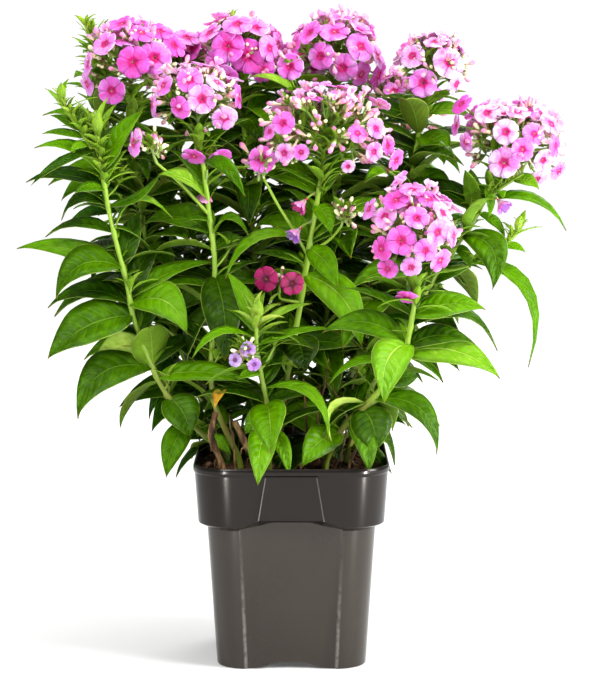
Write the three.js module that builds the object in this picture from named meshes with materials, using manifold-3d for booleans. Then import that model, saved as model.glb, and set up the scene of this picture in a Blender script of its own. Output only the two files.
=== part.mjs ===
// A border phlox in bloom, growing in its square nursery pot.
// Millimetres, +Z up. The origin is on the ground under the middle of the pot, and -Y is the front.
// The pot, the soil, each leafy stem and each flower head are separate solids. Stems stand in plain
// holes in the soil, and each head sits on the flat tip of its stem.

import * as THREE from "three";
import Module from "manifold-3d";

const wasm = await Module();
wasm.setup();

// ---------------------------------------------------------------- pot and soil, driving sizes
const GAP = 0.3;
const POT = {
  height: 190,
  baseHalf: 69,
  baseCorner: 25,
  bodyTopHalf: 77.5,
  bodyTopCorner: 30,
  bodyTop: 131,
  collarHalf: 85.5,
  collarCorner: 35,
  collarBottom: 136,
  rimHalf: 90,
  rimCorner: 38,
  lip: 6,
  lipDepth: 1.4,
  wall: 2.1,
  footRise: 6,
  footWidth: 12,
  collarRise: 8,
};
const SIDE_POINTS = 3;
const CORNER_STEPS = 3;
const LABEL = { bottom: 141, top: 183, bottomHalf: 30.5, topHalf: 23.5, proud: 0.8 };
const SOIL = { top: 177, relief: 3.5, holeClearance: 0.5 };
const STEM_FOOT = 156;

// ---------------------------------------------------------------- plant, driving sizes
const STEM_SIDES = 4;
const BEND = 0.8;
const FOLD = 0.22;
const CLEARANCE = 0.9;
const FLORET_LOBES = 5;
const CORE_SIDES = 6;
const CORE_SHARE = 0.27;
const ROOT_DEPTH = 0.15;
const GOLDEN_ANGLE = Math.PI * (3 - Math.sqrt(5));

// Long leaves take three sections between root and tip, short ones two. Each section is
// [how far along the blade, half width as a share of the whole, half thickness in mm].
const LONG_SECTIONS = [[0.15, 0.62, 1.1], [0.45, 1.0, 0.9], [0.77, 0.64, 0.75]];
const SHORT_SECTIONS = [[0.24, 0.84, 1.8], [0.62, 0.86, 1.5]];

// Where a leaf or a floret would run into its neighbour, the next of these is tried.
const LEAF_SHIFTS = [
  [0, 0, 0], [0, -8, 0], [0, 8, 0], [0, 0, -7], [0, 0, 7], [0, -16, 0], [0, 16, 0],
  [0, -16, -8], [0, 16, -8], [0, -26, 0], [0, 26, 0], [0, -34, -10], [0, 34, -10],
];
const TURNS = [0, 18, -18, 36, -36];
const SIZES = [1, 0.84, 0.68];
const FLORET_SHIFTS = [0, 2.5, -2.5, 5, -5, 8];

// Shoots: the node each belongs to, the radius at its base and tip, whether it is rooted in the soil,
// and the points that its middle line passes through. A leaf is [height on the shoot, tip x, tip y,
// tip z, width, arch, roll in degrees towards the front]. Pairs are the leaf pairs between two
// heights, and a tuft is the cluster of young leaves at the tip.
const SHOOTS = [
  {
    node: "stem_front_left", radius: [3.0, 1.8], rooted: true,
    route: [
      [-60, 5, 184], [-79, 2, 204], [-102, -8, 227], [-122, -24, 260], [-134, -36, 292],
      [-144, -44, 322], [-149, -50, 353], [-157, -55, 387], [-165, -60, 426], [-170, -63, 462],
      [-174, -64, 495],
    ],
    leaves: [
      [445, -146, -70, 476, 13, 3, 55], [455, -132, -55, 510, 24, 5, 50],
      [450, -228, -75, 478, 18, 14, 40], [475, -228, -70, 456, 12, 6, 25],
      [440, -240, -45, 446, 18, 10, 40], [440, -192, -85, 438, 12, 4, 45],
      [425, -208, -50, 412, 16, 14, 40], [400, -224, -40, 396, 18, 10, 30],
      [365, -252, -20, 384, 26, 10, 40], [385, -194, -15, 382, 18, 4, 30],
      [370, -212, -50, 342, 34, 18, 50], [400, -106, -65, 414, 13, 26, 30],
      [370, -138, -35, 418, 22, 4, 25], [425, -116, -65, 456, 14, -8, 35],
      [340, -70, -35, 372, 20, 8, 35], [335, -94, -75, 310, 34, 18, 55],
      [325, -220, -65, 288, 42, 10, 55], [335, -224, -25, 330, 24, 14, 40],
      [295, -178, -25, 290, 26, 4, -55], [275, -128, -50, 316, 36, 8, 25],
      [275, -196, -45, 230, 37, 22, 55], [270, -118, -15, 244, 24, 3, 25],
      [265, -36, -50, 262, 22, 8, 50], [245, -94, -30, 210, 34, 6, 50],
      [245, -78, -10, 216, 20, 4, 50], [220, -116, -30, 172, 24, 8, 45],
      [205, -56, -15, 190, 13, 4, 55], [205, -28, -5, 234, 12, 4, 30],
    ],
    pairs: { from: 240, to: 430, spacing: 60, azimuth: 70, length: 84, side: "back" },
    tuft: { count: 6, length: 42, width: 13 },
  },
  {
    node: "stem_a", radius: [2.8, 1.9], rooted: true,
    route: [
      [-42, 40, 184], [-92, 52, 252], [-121, 48, 320], [-138, 42, 387], [-145, 34, 454],
      [-148, 26, 508], [-150, 24, 532],
    ],
    leaves: [],
    pairs: { from: 240, to: 500, spacing: 46, azimuth: 20, length: 108, side: "all" },
  },
  {
    node: "stem_a_back", radius: [2.6, 1.4], rooted: true,
    route: [
      [-56, 56, 184], [-111, 78, 268], [-147, 86, 355], [-171, 84, 452], [-183, 80, 524],
      [-188, 76, 571],
    ],
    leaves: [],
    pairs: { from: 240, to: 530, spacing: 47, azimuth: 65, length: 96, side: "all" },
    tuft: { count: 6, length: 38, width: 11 },
  },
  {
    node: "stem_b", radius: [2.8, 2.0], rooted: true,
    route: [
      [-16, 42, 184], [-29, 56, 261], [-32, 62, 337], [-40, 62, 424], [-46, 68, 500],
      [-49, 62, 540],
    ],
    leaves: [],
    pairs: { from: 240, to: 515, spacing: 43, azimuth: 40, length: 106, side: "all" },
  },
  {
    node: "stem_c", radius: [3.0, 1.9], rooted: true,
    route: [
      [-48, -18, 184], [-72, -24, 243], [-73, -30, 295], [-70, -36, 342], [-70, -42, 379],
      [-74, -49, 416], [-79, -56, 462], [-83, -60, 495],
    ],
    leaves: [
      [430, -118, -65, 454, 22, 8, 45], [465, -40, -80, 446, 14, 12, 45],
      [385, -40, -35, 392, 18, 4, 40], [395, -38, -60, 398, 14, 18, 30],
      [410, -96, -55, 410, 12, 4, 25], [360, -60, -70, 286, 36, 16, 25],
      [330, -96, -20, 270, 34, 8, 50],
    ],
    pairs: { from: 240, to: 470, spacing: 52, azimuth: 60, length: 92, side: "back" },
  },
  {
    node: "stem_d", radius: [3.2, 2.0], rooted: true,
    route: [
      [-12, 8, 184], [-8, 2, 232], [-1, -8, 279], [9, -20, 336], [16, -32, 383], [23, -42, 425],
      [28, -48, 457],
    ],
    leaves: [
      [390, -60, -55, 358, 18, 24, 25], [370, -34, -30, 380, 12, 4, 40],
      [360, 64, -65, 298, 32, 16, 50], [425, 36, -65, 400, 18, 5, 25],
      [385, 42, -65, 352, 22, 6, 50], [300, 12, -30, 272, 34, 6, 25],
      [295, 60, -10, 292, 24, 3, 50], [230, 40, -30, 188, 36, 16, 45],
    ],
    pairs: { from: 240, to: 440, spacing: 50, azimuth: 45, length: 94, side: "back" },
  },
  {
    node: "stem_e", radius: [2.8, 1.9], rooted: true,
    route: [
      [24, 38, 184], [25, 50, 262], [37, 58, 338], [41, 62, 424], [42, 68, 500], [42, 64, 538],
    ],
    leaves: [
      [515, 74, 55, 524, 13, 4, 55], [510, -6, 55, 520, 14, 8, 45],
    ],
    pairs: { from: 240, to: 515, spacing: 43, azimuth: 10, length: 106, side: "all" },
  },
  {
    node: "stem_f", radius: [3.0, 2.0], rooted: true,
    route: [
      [40, 30, 184], [58, 42, 263], [89, 46, 339], [105, 38, 406], [115, 28, 459], [121, 22, 501],
      [124, 20, 523],
    ],
    leaves: [
      [500, 54, 20, 516, 22, 5, 45], [505, 170, 10, 500, 18, 8, 40],
      [485, 142, 10, 460, 28, 10, 45], [475, 162, 30, 458, 14, 4, 45],
      [450, 150, 15, 420, 26, 8, 45], [495, 82, 25, 498, 12, 3, 30], [385, 36, 30, 388, 18, 6, 40],
    ],
    pairs: { from: 240, to: 500, spacing: 46, azimuth: 55, length: 104, side: "all" },
  },
  {
    node: "stem_g", radius: [3.0, 1.9], rooted: true,
    route: [
      [52, 4, 184], [76, 2, 254], [113, 8, 316], [139, 8, 365], [163, 4, 397], [179, 0, 427],
      [190, -2, 453],
    ],
    leaves: [
      [370, 220, -20, 274, 18, 44, 30], [395, 186, -10, 346, 30, 20, 55],
      [415, 198, -5, 392, 12, 5, 40], [425, 254, -10, 400, 16, 18, 30],
      [435, 158, -10, 432, 14, 4, 45], [445, 214, 5, 442, 12, 5, 45],
      [385, 166, 0, 364, 12, 3, 30],
    ],
    pairs: { from: 240, to: 430, spacing: 52, azimuth: 30, length: 96, side: "all" },
  },
  {
    node: "stem_h", radius: [3.0, 2.1], rooted: true,
    route: [
      [32, -28, 184], [50, -44, 224], [73, -62, 249], [93, -82, 281], [104, -96, 308],
      [108, -106, 334], [110, -114, 360],
    ],
    leaves: [
      [330, 48, -95, 354, 14, 5, 25], [330, 172, -100, 336, 26, 8, 55],
      [305, 82, -125, 256, 36, 18, 55], [295, 186, -95, 274, 32, 14, 55],
      [300, 164, -65, 304, 22, 10, 50], [320, 186, -70, 296, 20, 24, 35],
      [285, 34, -80, 266, 13, 12, 35], [245, 36, -65, 212, 18, 20, -40],
      [250, 132, -75, 202, 24, 22, 50], [240, 76, -70, 202, 38, 8, 50],
      [230, 70, -75, 176, 22, 12, 25], [235, 96, -30, 184, 24, 8, 50],
      [265, 116, -45, 268, 22, 3, 50], [215, 10, -65, 188, 28, 8, 55],
    ],
    pairs: { from: 250, to: 335, spacing: 50, azimuth: 80, length: 80, side: "back" },
  },
  {
    node: "stem_front", radius: [2.6, 1.6], rooted: true,
    route: [
      [-20, -42, 184], [-22, -58, 241], [-26, -66, 268], [-31, -74, 296], [-31, -80, 326],
    ],
    leaves: [
      [310, -58, -65, 366, 18, 5, 50], [305, -88, -85, 292, 14, 16, 20],
      [315, 18, -90, 340, 13, 4, 30], [300, 38, -80, 316, 13, 5, 30],
      [280, -12, -55, 318, 18, 3, 50], [275, -48, -80, 270, 12, 3, 40],
      [260, 34, -85, 216, 14, 24, 35], [245, -18, -95, 206, 34, 12, 25],
      [220, -30, -85, 176, 26, 14, 25], [230, -42, -70, 212, 20, 5, 50],
      [220, -2, -90, 182, 15, 10, 25],
    ],
    pairs: { from: 240, to: 300, spacing: 50, azimuth: 60, length: 58, side: "back" },
    tuft: { count: 5, length: 42, width: 16 },
  },
  {
    node: "stem_j", radius: [2.8, 1.9], rooted: true,
    route: [
      [-20, 62, 184], [-52, 80, 258], [-84, 90, 345], [-104, 95, 432], [-110, 90, 495],
      [-111, 84, 526],
    ],
    leaves: [],
    pairs: { from: 234, to: 520, spacing: 43, azimuth: 75, length: 80, side: "all" },
  },
  {
    node: "stem_k", radius: [2.8, 1.9], rooted: true,
    route: [
      [10, 66, 184], [8, 86, 257], [14, 106, 343], [8, 112, 431], [0, 106, 490], [-2, 100, 513],
    ],
    leaves: [],
    pairs: { from: 236, to: 505, spacing: 43, azimuth: 35, length: 76, side: "all" },
  },
  {
    node: "stem_l", radius: [2.8, 1.9], rooted: true,
    route: [
      [46, 58, 184], [58, 74, 258], [91, 92, 344], [103, 96, 412], [108, 92, 461], [108, 88, 484],
    ],
    leaves: [],
    pairs: { from: 234, to: 480, spacing: 43, azimuth: 15, length: 78, side: "all" },
  },
  {
    node: "stem_front_left", radius: [1.6, 1.1], rooted: false,
    route: [
      [-169, -63, 458], [-186, -62, 488], [-208, -60, 520],
    ],
    leaves: [
      [486, -222, -70, 490, 11, 3, 40], [492, -216, -55, 506, 11, 3, 40],
      [480, -196, -80, 474, 10, 3, 40],
    ],
    tuft: { count: 4, length: 30, width: 11 },
  },
  {
    node: "stem_c", radius: [1.6, 1.2], rooted: false,
    route: [
      [-74, -49, 416], [-97, -60, 443], [-120, -70, 464],
    ],
    leaves: [],
  },
  {
    node: "stem_d", radius: [1.6, 1.2], rooted: false,
    route: [
      [15, -31, 378], [2, -38, 402], [-13, -45, 427], [-25, -50, 450],
    ],
    leaves: [],
  },
  {
    node: "stem_d", radius: [1.5, 1.1], rooted: false,
    route: [
      [15, -31, 381], [33, -44, 392], [45, -55, 406],
    ],
    leaves: [],
  },
  {
    node: "stem_d", radius: [1.4, 1.1], rooted: false,
    route: [
      [-1, -19, 334], [-9, -30, 338], [-11, -36, 344],
    ],
    leaves: [],
  },
  {
    node: "stem_e", radius: [1.5, 1.1], rooted: false,
    route: [
      [41, 70, 478], [22, 56, 504], [5, 32, 526], [0, 12, 538],
    ],
    leaves: [
      [518, -38, 20, 541, 14, 8, 40], [522, -4, 5, 528, 10, 3, 40], [528, 14, 2, 526, 10, 3, 40],
      [512, -2, 55, 548, 9, 3, 30],
    ],
  },
  {
    node: "stem_g", radius: [1.5, 1.1], rooted: false,
    route: [
      [179, 0, 426], [196, -5, 440], [214, -7, 452],
    ],
    leaves: [
      [446, 228, -14, 438, 15, 4, 45],
    ],
    tuft: { count: 2, length: 24, width: 9 },
  },
  {
    node: "stem_g", radius: [1.7, 1.2], rooted: false,
    route: [
      [138, 8, 364], [150, 4, 362], [176, -2, 371], [198, -8, 386], [213, -11, 402],
    ],
    leaves: [
      [384, 216, -16, 380, 10, 3, 40],
    ],
    tuft: { count: 4, length: 26, width: 11 },
  },
  {
    node: "stem_front", radius: [1.3, 1.0], rooted: false,
    route: [
      [-32, -71, 282], [-37, -79, 286], [-40, -86, 290],
    ],
    leaves: [],
  },
  {
    node: "dry_stalk_left", radius: [3.4, 2.6], rooted: true,
    route: [
      [-64, -46, 184], [-73, -51, 212], [-69, -48, 236],
    ],
    leaves: [],
  },
  {
    node: "dry_stalk_middle", radius: [4.0, 2.8], rooted: true,
    route: [
      [-32, -32, 184], [-43, -36, 206], [-52, -40, 226],
    ],
    leaves: [],
  },
  {
    node: "dry_stalk_back", radius: [3.6, 2.4], rooted: true,
    route: [
      [2, 34, 184], [-3, 30, 236], [3, 28, 288],
    ],
    leaves: [],
  },
];

// Heads: the middle of each dome of florets and its three radii, how many more florets fill its
// sides and back, and how many buds stand among them. A floret is [x, y, z from the middle, diameter,
// degrees turned to the right, degrees turned up].
const HEADS = [
  {
    node: "head_a", centre: [-150, 18, 554], radii: [43, 38, 37], fill: 3, buds: 3,
    florets: [
      [-15, -24, -26, 26, -8, -8], [6, -38, 0, 30, 0, 5], [25, -30, 4, 31, 5, 5],
      [-20, -29, 16, 26, -35, 35], [-37, -19, -2, 24, -70, 5], [-6, -13, 35, 26, -30, 60],
      [28, 0, 29, 26, 20, 55], [43, 0, 17, 26, 45, 30], [-40, 0, -20, 23, -60, -15],
    ],
  },
  {
    node: "head_b", centre: [-51, 58, 564], radii: [41, 38, 33], fill: 3, buds: 3,
    florets: [
      [-44, 0, 2, 27, -50, 30], [-8, -37, 5, 31, -5, 10], [1, -29, 22, 28, -5, 50],
      [18, -24, 22, 26, 15, 50], [10, -36, -4, 33, 5, 0], [29, -27, 3, 26, 50, 10],
      [39, -8, 7, 25, 70, 15], [-19, -32, -9, 25, -30, -10], [-9, -28, -22, 25, -15, -25],
      [-24, -25, 16, 25, -50, 45], [25, -23, -17, 25, 30, -20], [-33, 0, -24, 23, -45, -20],
    ],
  },
  {
    node: "head_c", centre: [-85, -60, 522], radii: [39, 34, 30], fill: 1, buds: 6,
    florets: [
      [-4, -29, 16, 24, 0, 20], [7, -33, -1, 26, 5, 0], [26, -16, -18, 24, 15, -30],
      [-28, -20, 11, 21, -50, 30], [-40, 0, -7, 22, -75, 0], [39, 0, 1, 22, 75, 5],
      [20, -24, 14, 21, 50, 45], [-14, -30, -9, 21, -30, -15], [-1, 0, -48, 22, -20, -50],
      [21, 0, -53, 22, 30, -45],
    ],
  },
  {
    node: "head_d", centre: [31, -50, 493], radii: [58, 40, 39], fill: 2, buds: 10,
    florets: [
      [-38, -30, 7, 21, -10, 12], [-50, -20, -1, 16, -50, 20], [-37, -23, -20, 18, -20, 0],
      [-22, -32, -19, 15, -10, 10], [20, -19, -32, 13, 10, -20], [28, -35, -2, 18, 20, 20],
      [43, -26, 1, 20, 35, 20], [56, 0, -14, 20, 55, 0], [64, 0, -27, 20, 50, -20],
      [67, 0, -45, 20, 60, -40], [43, -18, -19, 18, 30, -5],
    ],
  },
  {
    node: "head_e", centre: [42, 60, 566], radii: [43, 38, 33], fill: 3, buds: 4,
    florets: [
      [-2, -33, 16, 30, -5, 55], [5, -15, 30, 25, 0, 78], [-23, -28, 14, 25, -45, 35],
      [-37, -18, 5, 23, -70, 10], [23, -32, 3, 29, 30, 20], [24, -18, -23, 24, 40, -20],
      [6, -32, -17, 28, -10, -20], [41, 0, -24, 25, 60, -20], [-15, -35, -6, 26, -20, 0],
      [39, -13, -6, 25, 65, 15],
    ],
  },
  {
    node: "head_f", centre: [132, 18, 551], radii: [32, 32, 28], fill: 4, buds: 4,
    florets: [
      [-21, -22, 9, 24, -25, 25], [-11, -24, -16, 27, 0, -5], [13, -29, 3, 31, 20, 20],
      [0, -20, 22, 22, -5, 65], [21, -14, -17, 22, 50, -20],
    ],
  },
  {
    node: "head_g", centre: [204, 0, 481], radii: [48, 36, 33], fill: 2, buds: 4,
    florets: [
      [-10, -29, -18, 29, 0, -10], [-24, -12, 27, 25, -10, 45], [-47, 0, 35, 22, -50, 40],
      [-9, -34, 10, 24, -5, 10], [6, -35, -6, 22, 10, -5], [17, -33, 8, 22, 20, 15],
      [26, -25, -16, 20, 20, -15], [34, -18, 17, 24, 45, 35], [38, -22, -3, 22, 60, 0],
      [44, 0, -27, 20, 45, -30], [-44, -15, 0, 18, -55, -10], [-51, 0, 15, 20, -75, 10],
      [3, -20, 28, 22, 5, 60], [24, 0, -34, 19, 15, -45],
    ],
  },
  {
    node: "head_h", centre: [107, -117, 404], radii: [42, 40, 41], fill: 2, buds: 3,
    florets: [
      [-12, -38, -3, 26, -5, 0], [-3, -30, -27, 19, 0, -25], [-23, -15, -30, 19, -15, -25],
      [-29, -27, -11, 22, -45, -5], [19, -36, 4, 25, 35, -10], [-39, 0, 22, 21, -65, 25],
      [-26, -26, 17, 22, -35, 25], [-16, -23, 29, 23, -15, 50], [-2, -16, 37, 23, 0, 68],
      [13, -18, 34, 23, 25, 55], [24, -26, 20, 22, 50, 30], [34, -23, 0, 22, 65, 0],
      [22, -27, -21, 22, 40, -25], [1, -37, 16, 22, 5, 30], [8, -38, -11, 21, 15, -10],
      [-5, 0, -57, 21, -10, -55],
    ],
  },
  {
    node: "head_j", centre: [-112, 80, 548], radii: [40, 38, 32], fill: 5, buds: 3,
    florets: [],
  },
  {
    node: "head_k", centre: [-2, 98, 540], radii: [38, 36, 32], fill: 5, buds: 3,
    florets: [],
  },
  {
    node: "head_l", centre: [108, 86, 512], radii: [38, 36, 32], fill: 5, buds: 3,
    florets: [],
  },
  {
    node: "head_c_side", centre: [-125, -73, 478], radii: [15, 14, 12], fill: 0, buds: 4,
    florets: [
      [-15, -3, 4, 25, -60, 5],
    ],
  },
  {
    node: "head_d_side", centre: [-27, -52, 461], radii: [13, 12, 11], fill: 0, buds: 3,
    florets: [
      [1, -8, 6, 25, 0, -5],
    ],
  },
  {
    node: "head_d_buds", centre: [48, -58, 416], radii: [12, 11, 12], fill: 0, buds: 4,
    florets: [],
  },
  {
    node: "head_low", centre: [-11, -39, 353], radii: [12, 11, 10], fill: 0, buds: 0,
    florets: [
      [-12, -8, 5, 23, -15, 0], [12, -10, 1, 22, 15, -5],
    ],
  },
  {
    node: "head_single", centre: [-1, 5, 548], radii: [11, 10, 10], fill: 0, buds: 0,
    florets: [
      [0, -6, 2, 25, -5, 0],
    ],
  },
  {
    node: "head_lilac", centre: [-42, -90, 296], radii: [9, 9, 8], fill: 0, buds: 0,
    florets: [
      [-8, -6, -6, 13, -20, 0], [4, -8, 4, 14, 10, 10], [9, -6, -10, 13, 20, -15],
    ],
  },
];

const COLOURS = {
  pot: { color: 0x4b4642, roughness: 0.35 },
  soil: { color: 0x2a1c12, roughness: 0.95 },
  stem: { color: 0x4f8a14, roughness: 0.5 },
  head: { color: 0xf06fd0, roughness: 0.6 },
  dry: { color: 0x6b4429, roughness: 0.85 },
};

// ---------------------------------------------------------------- small helpers
const vec = (x, y, z) => new THREE.Vector3(x, y, z);
const radians = THREE.MathUtils.degToRad;
const Z = vec(0, 0, 1);

// The same sequence of numbers from 0 to 1 each time for one seed.
function makeRandom(seed) {
  let state = seed;
  return () => {
    state = (state * 1664525 + 1013904223) % 4294967296;
    return state / 4294967296;
  };
}

function solidOf(points, triangles) {
  const vertProperties = new Float32Array(points.flatMap((p) => [p.x, p.y, p.z]));
  const triVerts = new Uint32Array(triangles.flat());
  return new wasm.Manifold(new wasm.Mesh({ numProp: 3, vertProperties, triVerts }));
}

function meshOf(solid, name, colour) {
  const { numProp, vertProperties, triVerts } = solid.getMesh();
  const positions = new Float32Array((vertProperties.length / numProp) * 3);
  for (let i = 0; i < positions.length / 3; i += 1) {
    positions.set(vertProperties.subarray(i * numProp, i * numProp + 3), i * 3);
  }
  const geometry = new THREE.BufferGeometry();
  geometry.setAttribute("position", new THREE.BufferAttribute(positions, 3));
  geometry.setIndex(new THREE.BufferAttribute(new Uint32Array(triVerts), 1));
  geometry.computeVertexNormals();
  const mesh = new THREE.Mesh(geometry, new THREE.MeshStandardMaterial({ metalness: 0, ...colour }));
  mesh.name = name;
  return mesh;
}

// Joins rings of equally many points into one closed skin, with a middle point at each end.
function loft(rings, firstPoint, lastPoint) {
  const count = rings[0].length;
  const points = [firstPoint, ...rings.flat(), lastPoint];
  const last = points.length - 1;
  const at = (ring, i) => 1 + ring * count + (i % count);
  const triangles = [];
  for (let i = 0; i < count; i += 1) {
    triangles.push([0, at(0, i + 1), at(0, i)]);
    triangles.push([last, at(rings.length - 1, i), at(rings.length - 1, i + 1)]);
    for (let ring = 0; ring + 1 < rings.length; ring += 1) {
      triangles.push([at(ring, i), at(ring, i + 1), at(ring + 1, i + 1)]);
      triangles.push([at(ring, i), at(ring + 1, i + 1), at(ring + 1, i)]);
    }
  }
  return solidOf(points, triangles);
}

// ---------------------------------------------------------------- pot
// One ring of a rounded square, turning left round +Z. rise lifts the middle of each side.
function squareRing(half, corner, z, rise = 0) {
  const straight = half - corner;
  const ring = [];
  for (let side = 0; side < 4; side += 1) {
    const turn = side * Math.PI / 2;
    const place = (x, y, height) => {
      ring.push(vec(x, y, height).applyAxisAngle(Z, turn));
    };
    for (let i = 1; i <= SIDE_POINTS; i += 1) {
      const along = i / (SIDE_POINTS + 1);
      const lift = rise * Math.sin(Math.PI * along);
      place(half, straight * (2 * along - 1), z + lift);
    }
    for (let i = 0; i <= CORNER_STEPS; i += 1) {
      const angle = i / CORNER_STEPS * Math.PI / 2;
      place(straight + corner * Math.cos(angle), straight + corner * Math.sin(angle), z);
    }
  }
  return ring;
}

// The pot's inner wall, from the floor up, as [z, half width, corner radius].
const INNER_WALL = [
  [8.5, POT.baseHalf - POT.wall + 0.4, POT.baseCorner],
  [POT.bodyTop + 3, POT.bodyTopHalf - POT.wall, POT.bodyTopCorner],
  [POT.height - 2, POT.rimHalf - POT.wall - 0.9, POT.rimCorner],
];

function innerWallAt(z) {
  const upper = Math.max(1, INNER_WALL.findIndex((row) => row[0] >= z));
  const [below, above] = [INNER_WALL[upper - 1], INNER_WALL[upper]];
  const share = (z - below[0]) / (above[0] - below[0]);
  return below.map((value, i) => value + (above[i] - value) * share);
}

function labelPlate() {
  const points = [];
  for (const [z, halfWidth] of [[LABEL.bottom, LABEL.bottomHalf], [LABEL.top, LABEL.topHalf]]) {
    const share = (z - POT.collarBottom) / (POT.height - POT.lip - POT.lipDepth - POT.collarBottom);
    const wallY = POT.collarHalf + (POT.rimHalf - POT.lipDepth - POT.collarHalf) * share;
    for (const y of [-(wallY + LABEL.proud), -(wallY - 1)]) {
      points.push(vec(-halfWidth, y, z), vec(halfWidth, y, z));
    }
  }
  return solidOf(points, [
    [0, 1, 5], [0, 5, 4], [2, 6, 7], [2, 7, 3], [0, 4, 6], [0, 6, 2],
    [1, 3, 7], [1, 7, 5], [4, 5, 7], [4, 7, 6], [0, 2, 3], [0, 3, 1],
  ]);
}

function makePot() {
  const lipLow = POT.height - POT.lip;
  const inner = INNER_WALL.map(([z, half, corner]) => squareRing(half, corner, z)).reverse();
  const rings = [
    squareRing(POT.baseHalf - POT.footWidth - 2, POT.baseCorner - 10, POT.footRise),
    squareRing(POT.baseHalf - POT.footWidth, POT.baseCorner - 9, 0, POT.footRise),
    squareRing(POT.baseHalf, POT.baseCorner, 0, POT.footRise),
    squareRing(POT.bodyTopHalf, POT.bodyTopCorner, POT.bodyTop, POT.collarRise),
    squareRing(POT.collarHalf, POT.collarCorner, POT.collarBottom, POT.collarRise),
    squareRing(POT.rimHalf - POT.lipDepth, POT.rimCorner, lipLow - POT.lipDepth),
    squareRing(POT.rimHalf, POT.rimCorner, lipLow),
    squareRing(POT.rimHalf - 0.4, POT.rimCorner, POT.height),
    ...inner,
  ];
  const shell = loft(rings, vec(0, 0, POT.footRise), vec(0, 0, INNER_WALL[0][0]));
  return shell.add(labelPlate());
}

// ---------------------------------------------------------------- soil
function makeSoil(holes) {
  const random = makeRandom(11);
  const heights = [INNER_WALL[0][0] + GAP, INNER_WALL[1][0], SOIL.top];
  const rings = heights.map((z) => {
    const [, half, corner] = innerWallAt(z);
    return squareRing(half - GAP - 0.1, corner - GAP, z);
  });
  for (const share of [0.72, 0.36]) {
    const [, half, corner] = innerWallAt(SOIL.top);
    const ring = squareRing(half * share, corner * share, SOIL.top);
    ring.forEach((point) => {
      point.z += SOIL.relief * random();
    });
    rings.push(ring);
  }
  let soil = loft(rings, vec(0, 0, heights[0]), vec(0, 0, SOIL.top + 2));
  for (const hole of holes) {
    soil = soil.subtract(hole);
  }
  return soil;
}

// ---------------------------------------------------------------- shoots
// A smooth line through the points, with one more point in each stretch that bends. A rooted shoot
// first goes straight down into the soil, and a side shoot starts on its trunk's line.
function middleLine(shoot, trunk) {
  const route = shoot.route.map((point) => vec(...point));
  if (trunk) {
    route[0] = pointAtHeight(trunk, route[0].z);
  }
  const before = shoot.rooted
    ? vec(route[0].x, route[0].y, STEM_FOOT)
    : route[0].clone().multiplyScalar(2).sub(route[1]);
  const after = route.at(-1).clone().multiplyScalar(2).sub(route.at(-2));
  const knots = [before, ...route, after];
  const line = shoot.rooted ? [before] : [];
  for (let i = 1; i + 2 < knots.length; i += 1) {
    const [a, b, c, d] = knots.slice(i - 1, i + 3);
    const middle = b.clone().add(c).multiplyScalar(9 / 16);
    middle.sub(a.clone().add(d).multiplyScalar(1 / 16));
    line.push(b);
    if (middle.distanceTo(b.clone().lerp(c, 0.5)) > BEND) {
      line.push(middle);
    }
  }
  line.push(route.at(-1));
  return line;
}

// A tapered tube along a line. Its tip is level, and so is its foot where it is rooted.
function tube(line, radii, rooted) {
  const rings = line.map((point, i) => {
    const along = line[Math.min(i + 1, line.length - 1)].clone().sub(line[Math.max(i - 1, 0)]);
    const level = i === line.length - 1 || (rooted && i === 0);
    const axis = level ? Z : along.normalize();
    const right = vec(0, 1, 0).cross(axis).normalize();
    const ahead = axis.clone().cross(right);
    const radius = radii[0] + (radii[1] - radii[0]) * i / (line.length - 1);
    return Array.from({ length: STEM_SIDES }, (_, k) => {
      const angle = k / STEM_SIDES * 2 * Math.PI;
      return point.clone()
        .addScaledVector(right, radius * Math.cos(angle))
        .addScaledVector(ahead, radius * Math.sin(angle));
    });
  });
  return loft(rings, line[0], line.at(-1));
}

// The point of a shoot's line at a height.
function pointAtHeight(line, z) {
  const upper = Math.max(1, line.findIndex((point) => point.z >= z));
  const [below, above] = [line[upper - 1], line[upper]];
  return below.clone().lerp(above, (z - below.z) / (above.z - below.z));
}

function makeHole(shoot) {
  const [x, y] = shoot.route[0];
  const radius = (shoot.radius[0] + SOIL.holeClearance) / Math.cos(Math.PI / STEM_SIDES);
  const [bottom, top] = [STEM_FOOT - GAP, SOIL.top + 20];
  const rings = [bottom, top].map((z) => Array.from({ length: STEM_SIDES }, (_, k) => {
    const angle = k / STEM_SIDES * 2 * Math.PI;
    return vec(x + radius * Math.cos(angle), y + radius * Math.sin(angle), z);
  }));
  return loft(rings, vec(x, y, bottom), vec(x, y, top));
}

// ---------------------------------------------------------------- leaves
// A leaf's frame: the blade runs from root to tip, arched away from the ground, and is rolled so
// that its near edge drops by the roll.
function leafFrame(leaf) {
  const chord = leaf.tip.clone().sub(leaf.root);
  const along = chord.clone().normalize();
  const level = vec(-chord.y, chord.x, 0).normalize();
  if (level.y > 0) {
    level.negate();
  }
  const lift = Z.clone().addScaledVector(along, -along.z).normalize();
  const roll = radians(leaf.roll);
  const side = level.clone().multiplyScalar(Math.cos(roll)).addScaledVector(lift, -Math.sin(roll));
  const face = lift.clone().multiplyScalar(Math.cos(roll)).addScaledVector(level, Math.sin(roll));
  const hand = along.clone().cross(side).dot(face) > 0 ? 1 : -1;
  const middle = (t) => leaf.root.clone()
    .addScaledVector(chord, t)
    .addScaledVector(lift, leaf.arch * 4 * t * (1 - t));
  const normal = (t) => chord.clone()
    .addScaledVector(lift, leaf.arch * 4 * (1 - 2 * t))
    .cross(side)
    .multiplyScalar(hand)
    .normalize();
  return { middle, normal, side, along };
}

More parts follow.
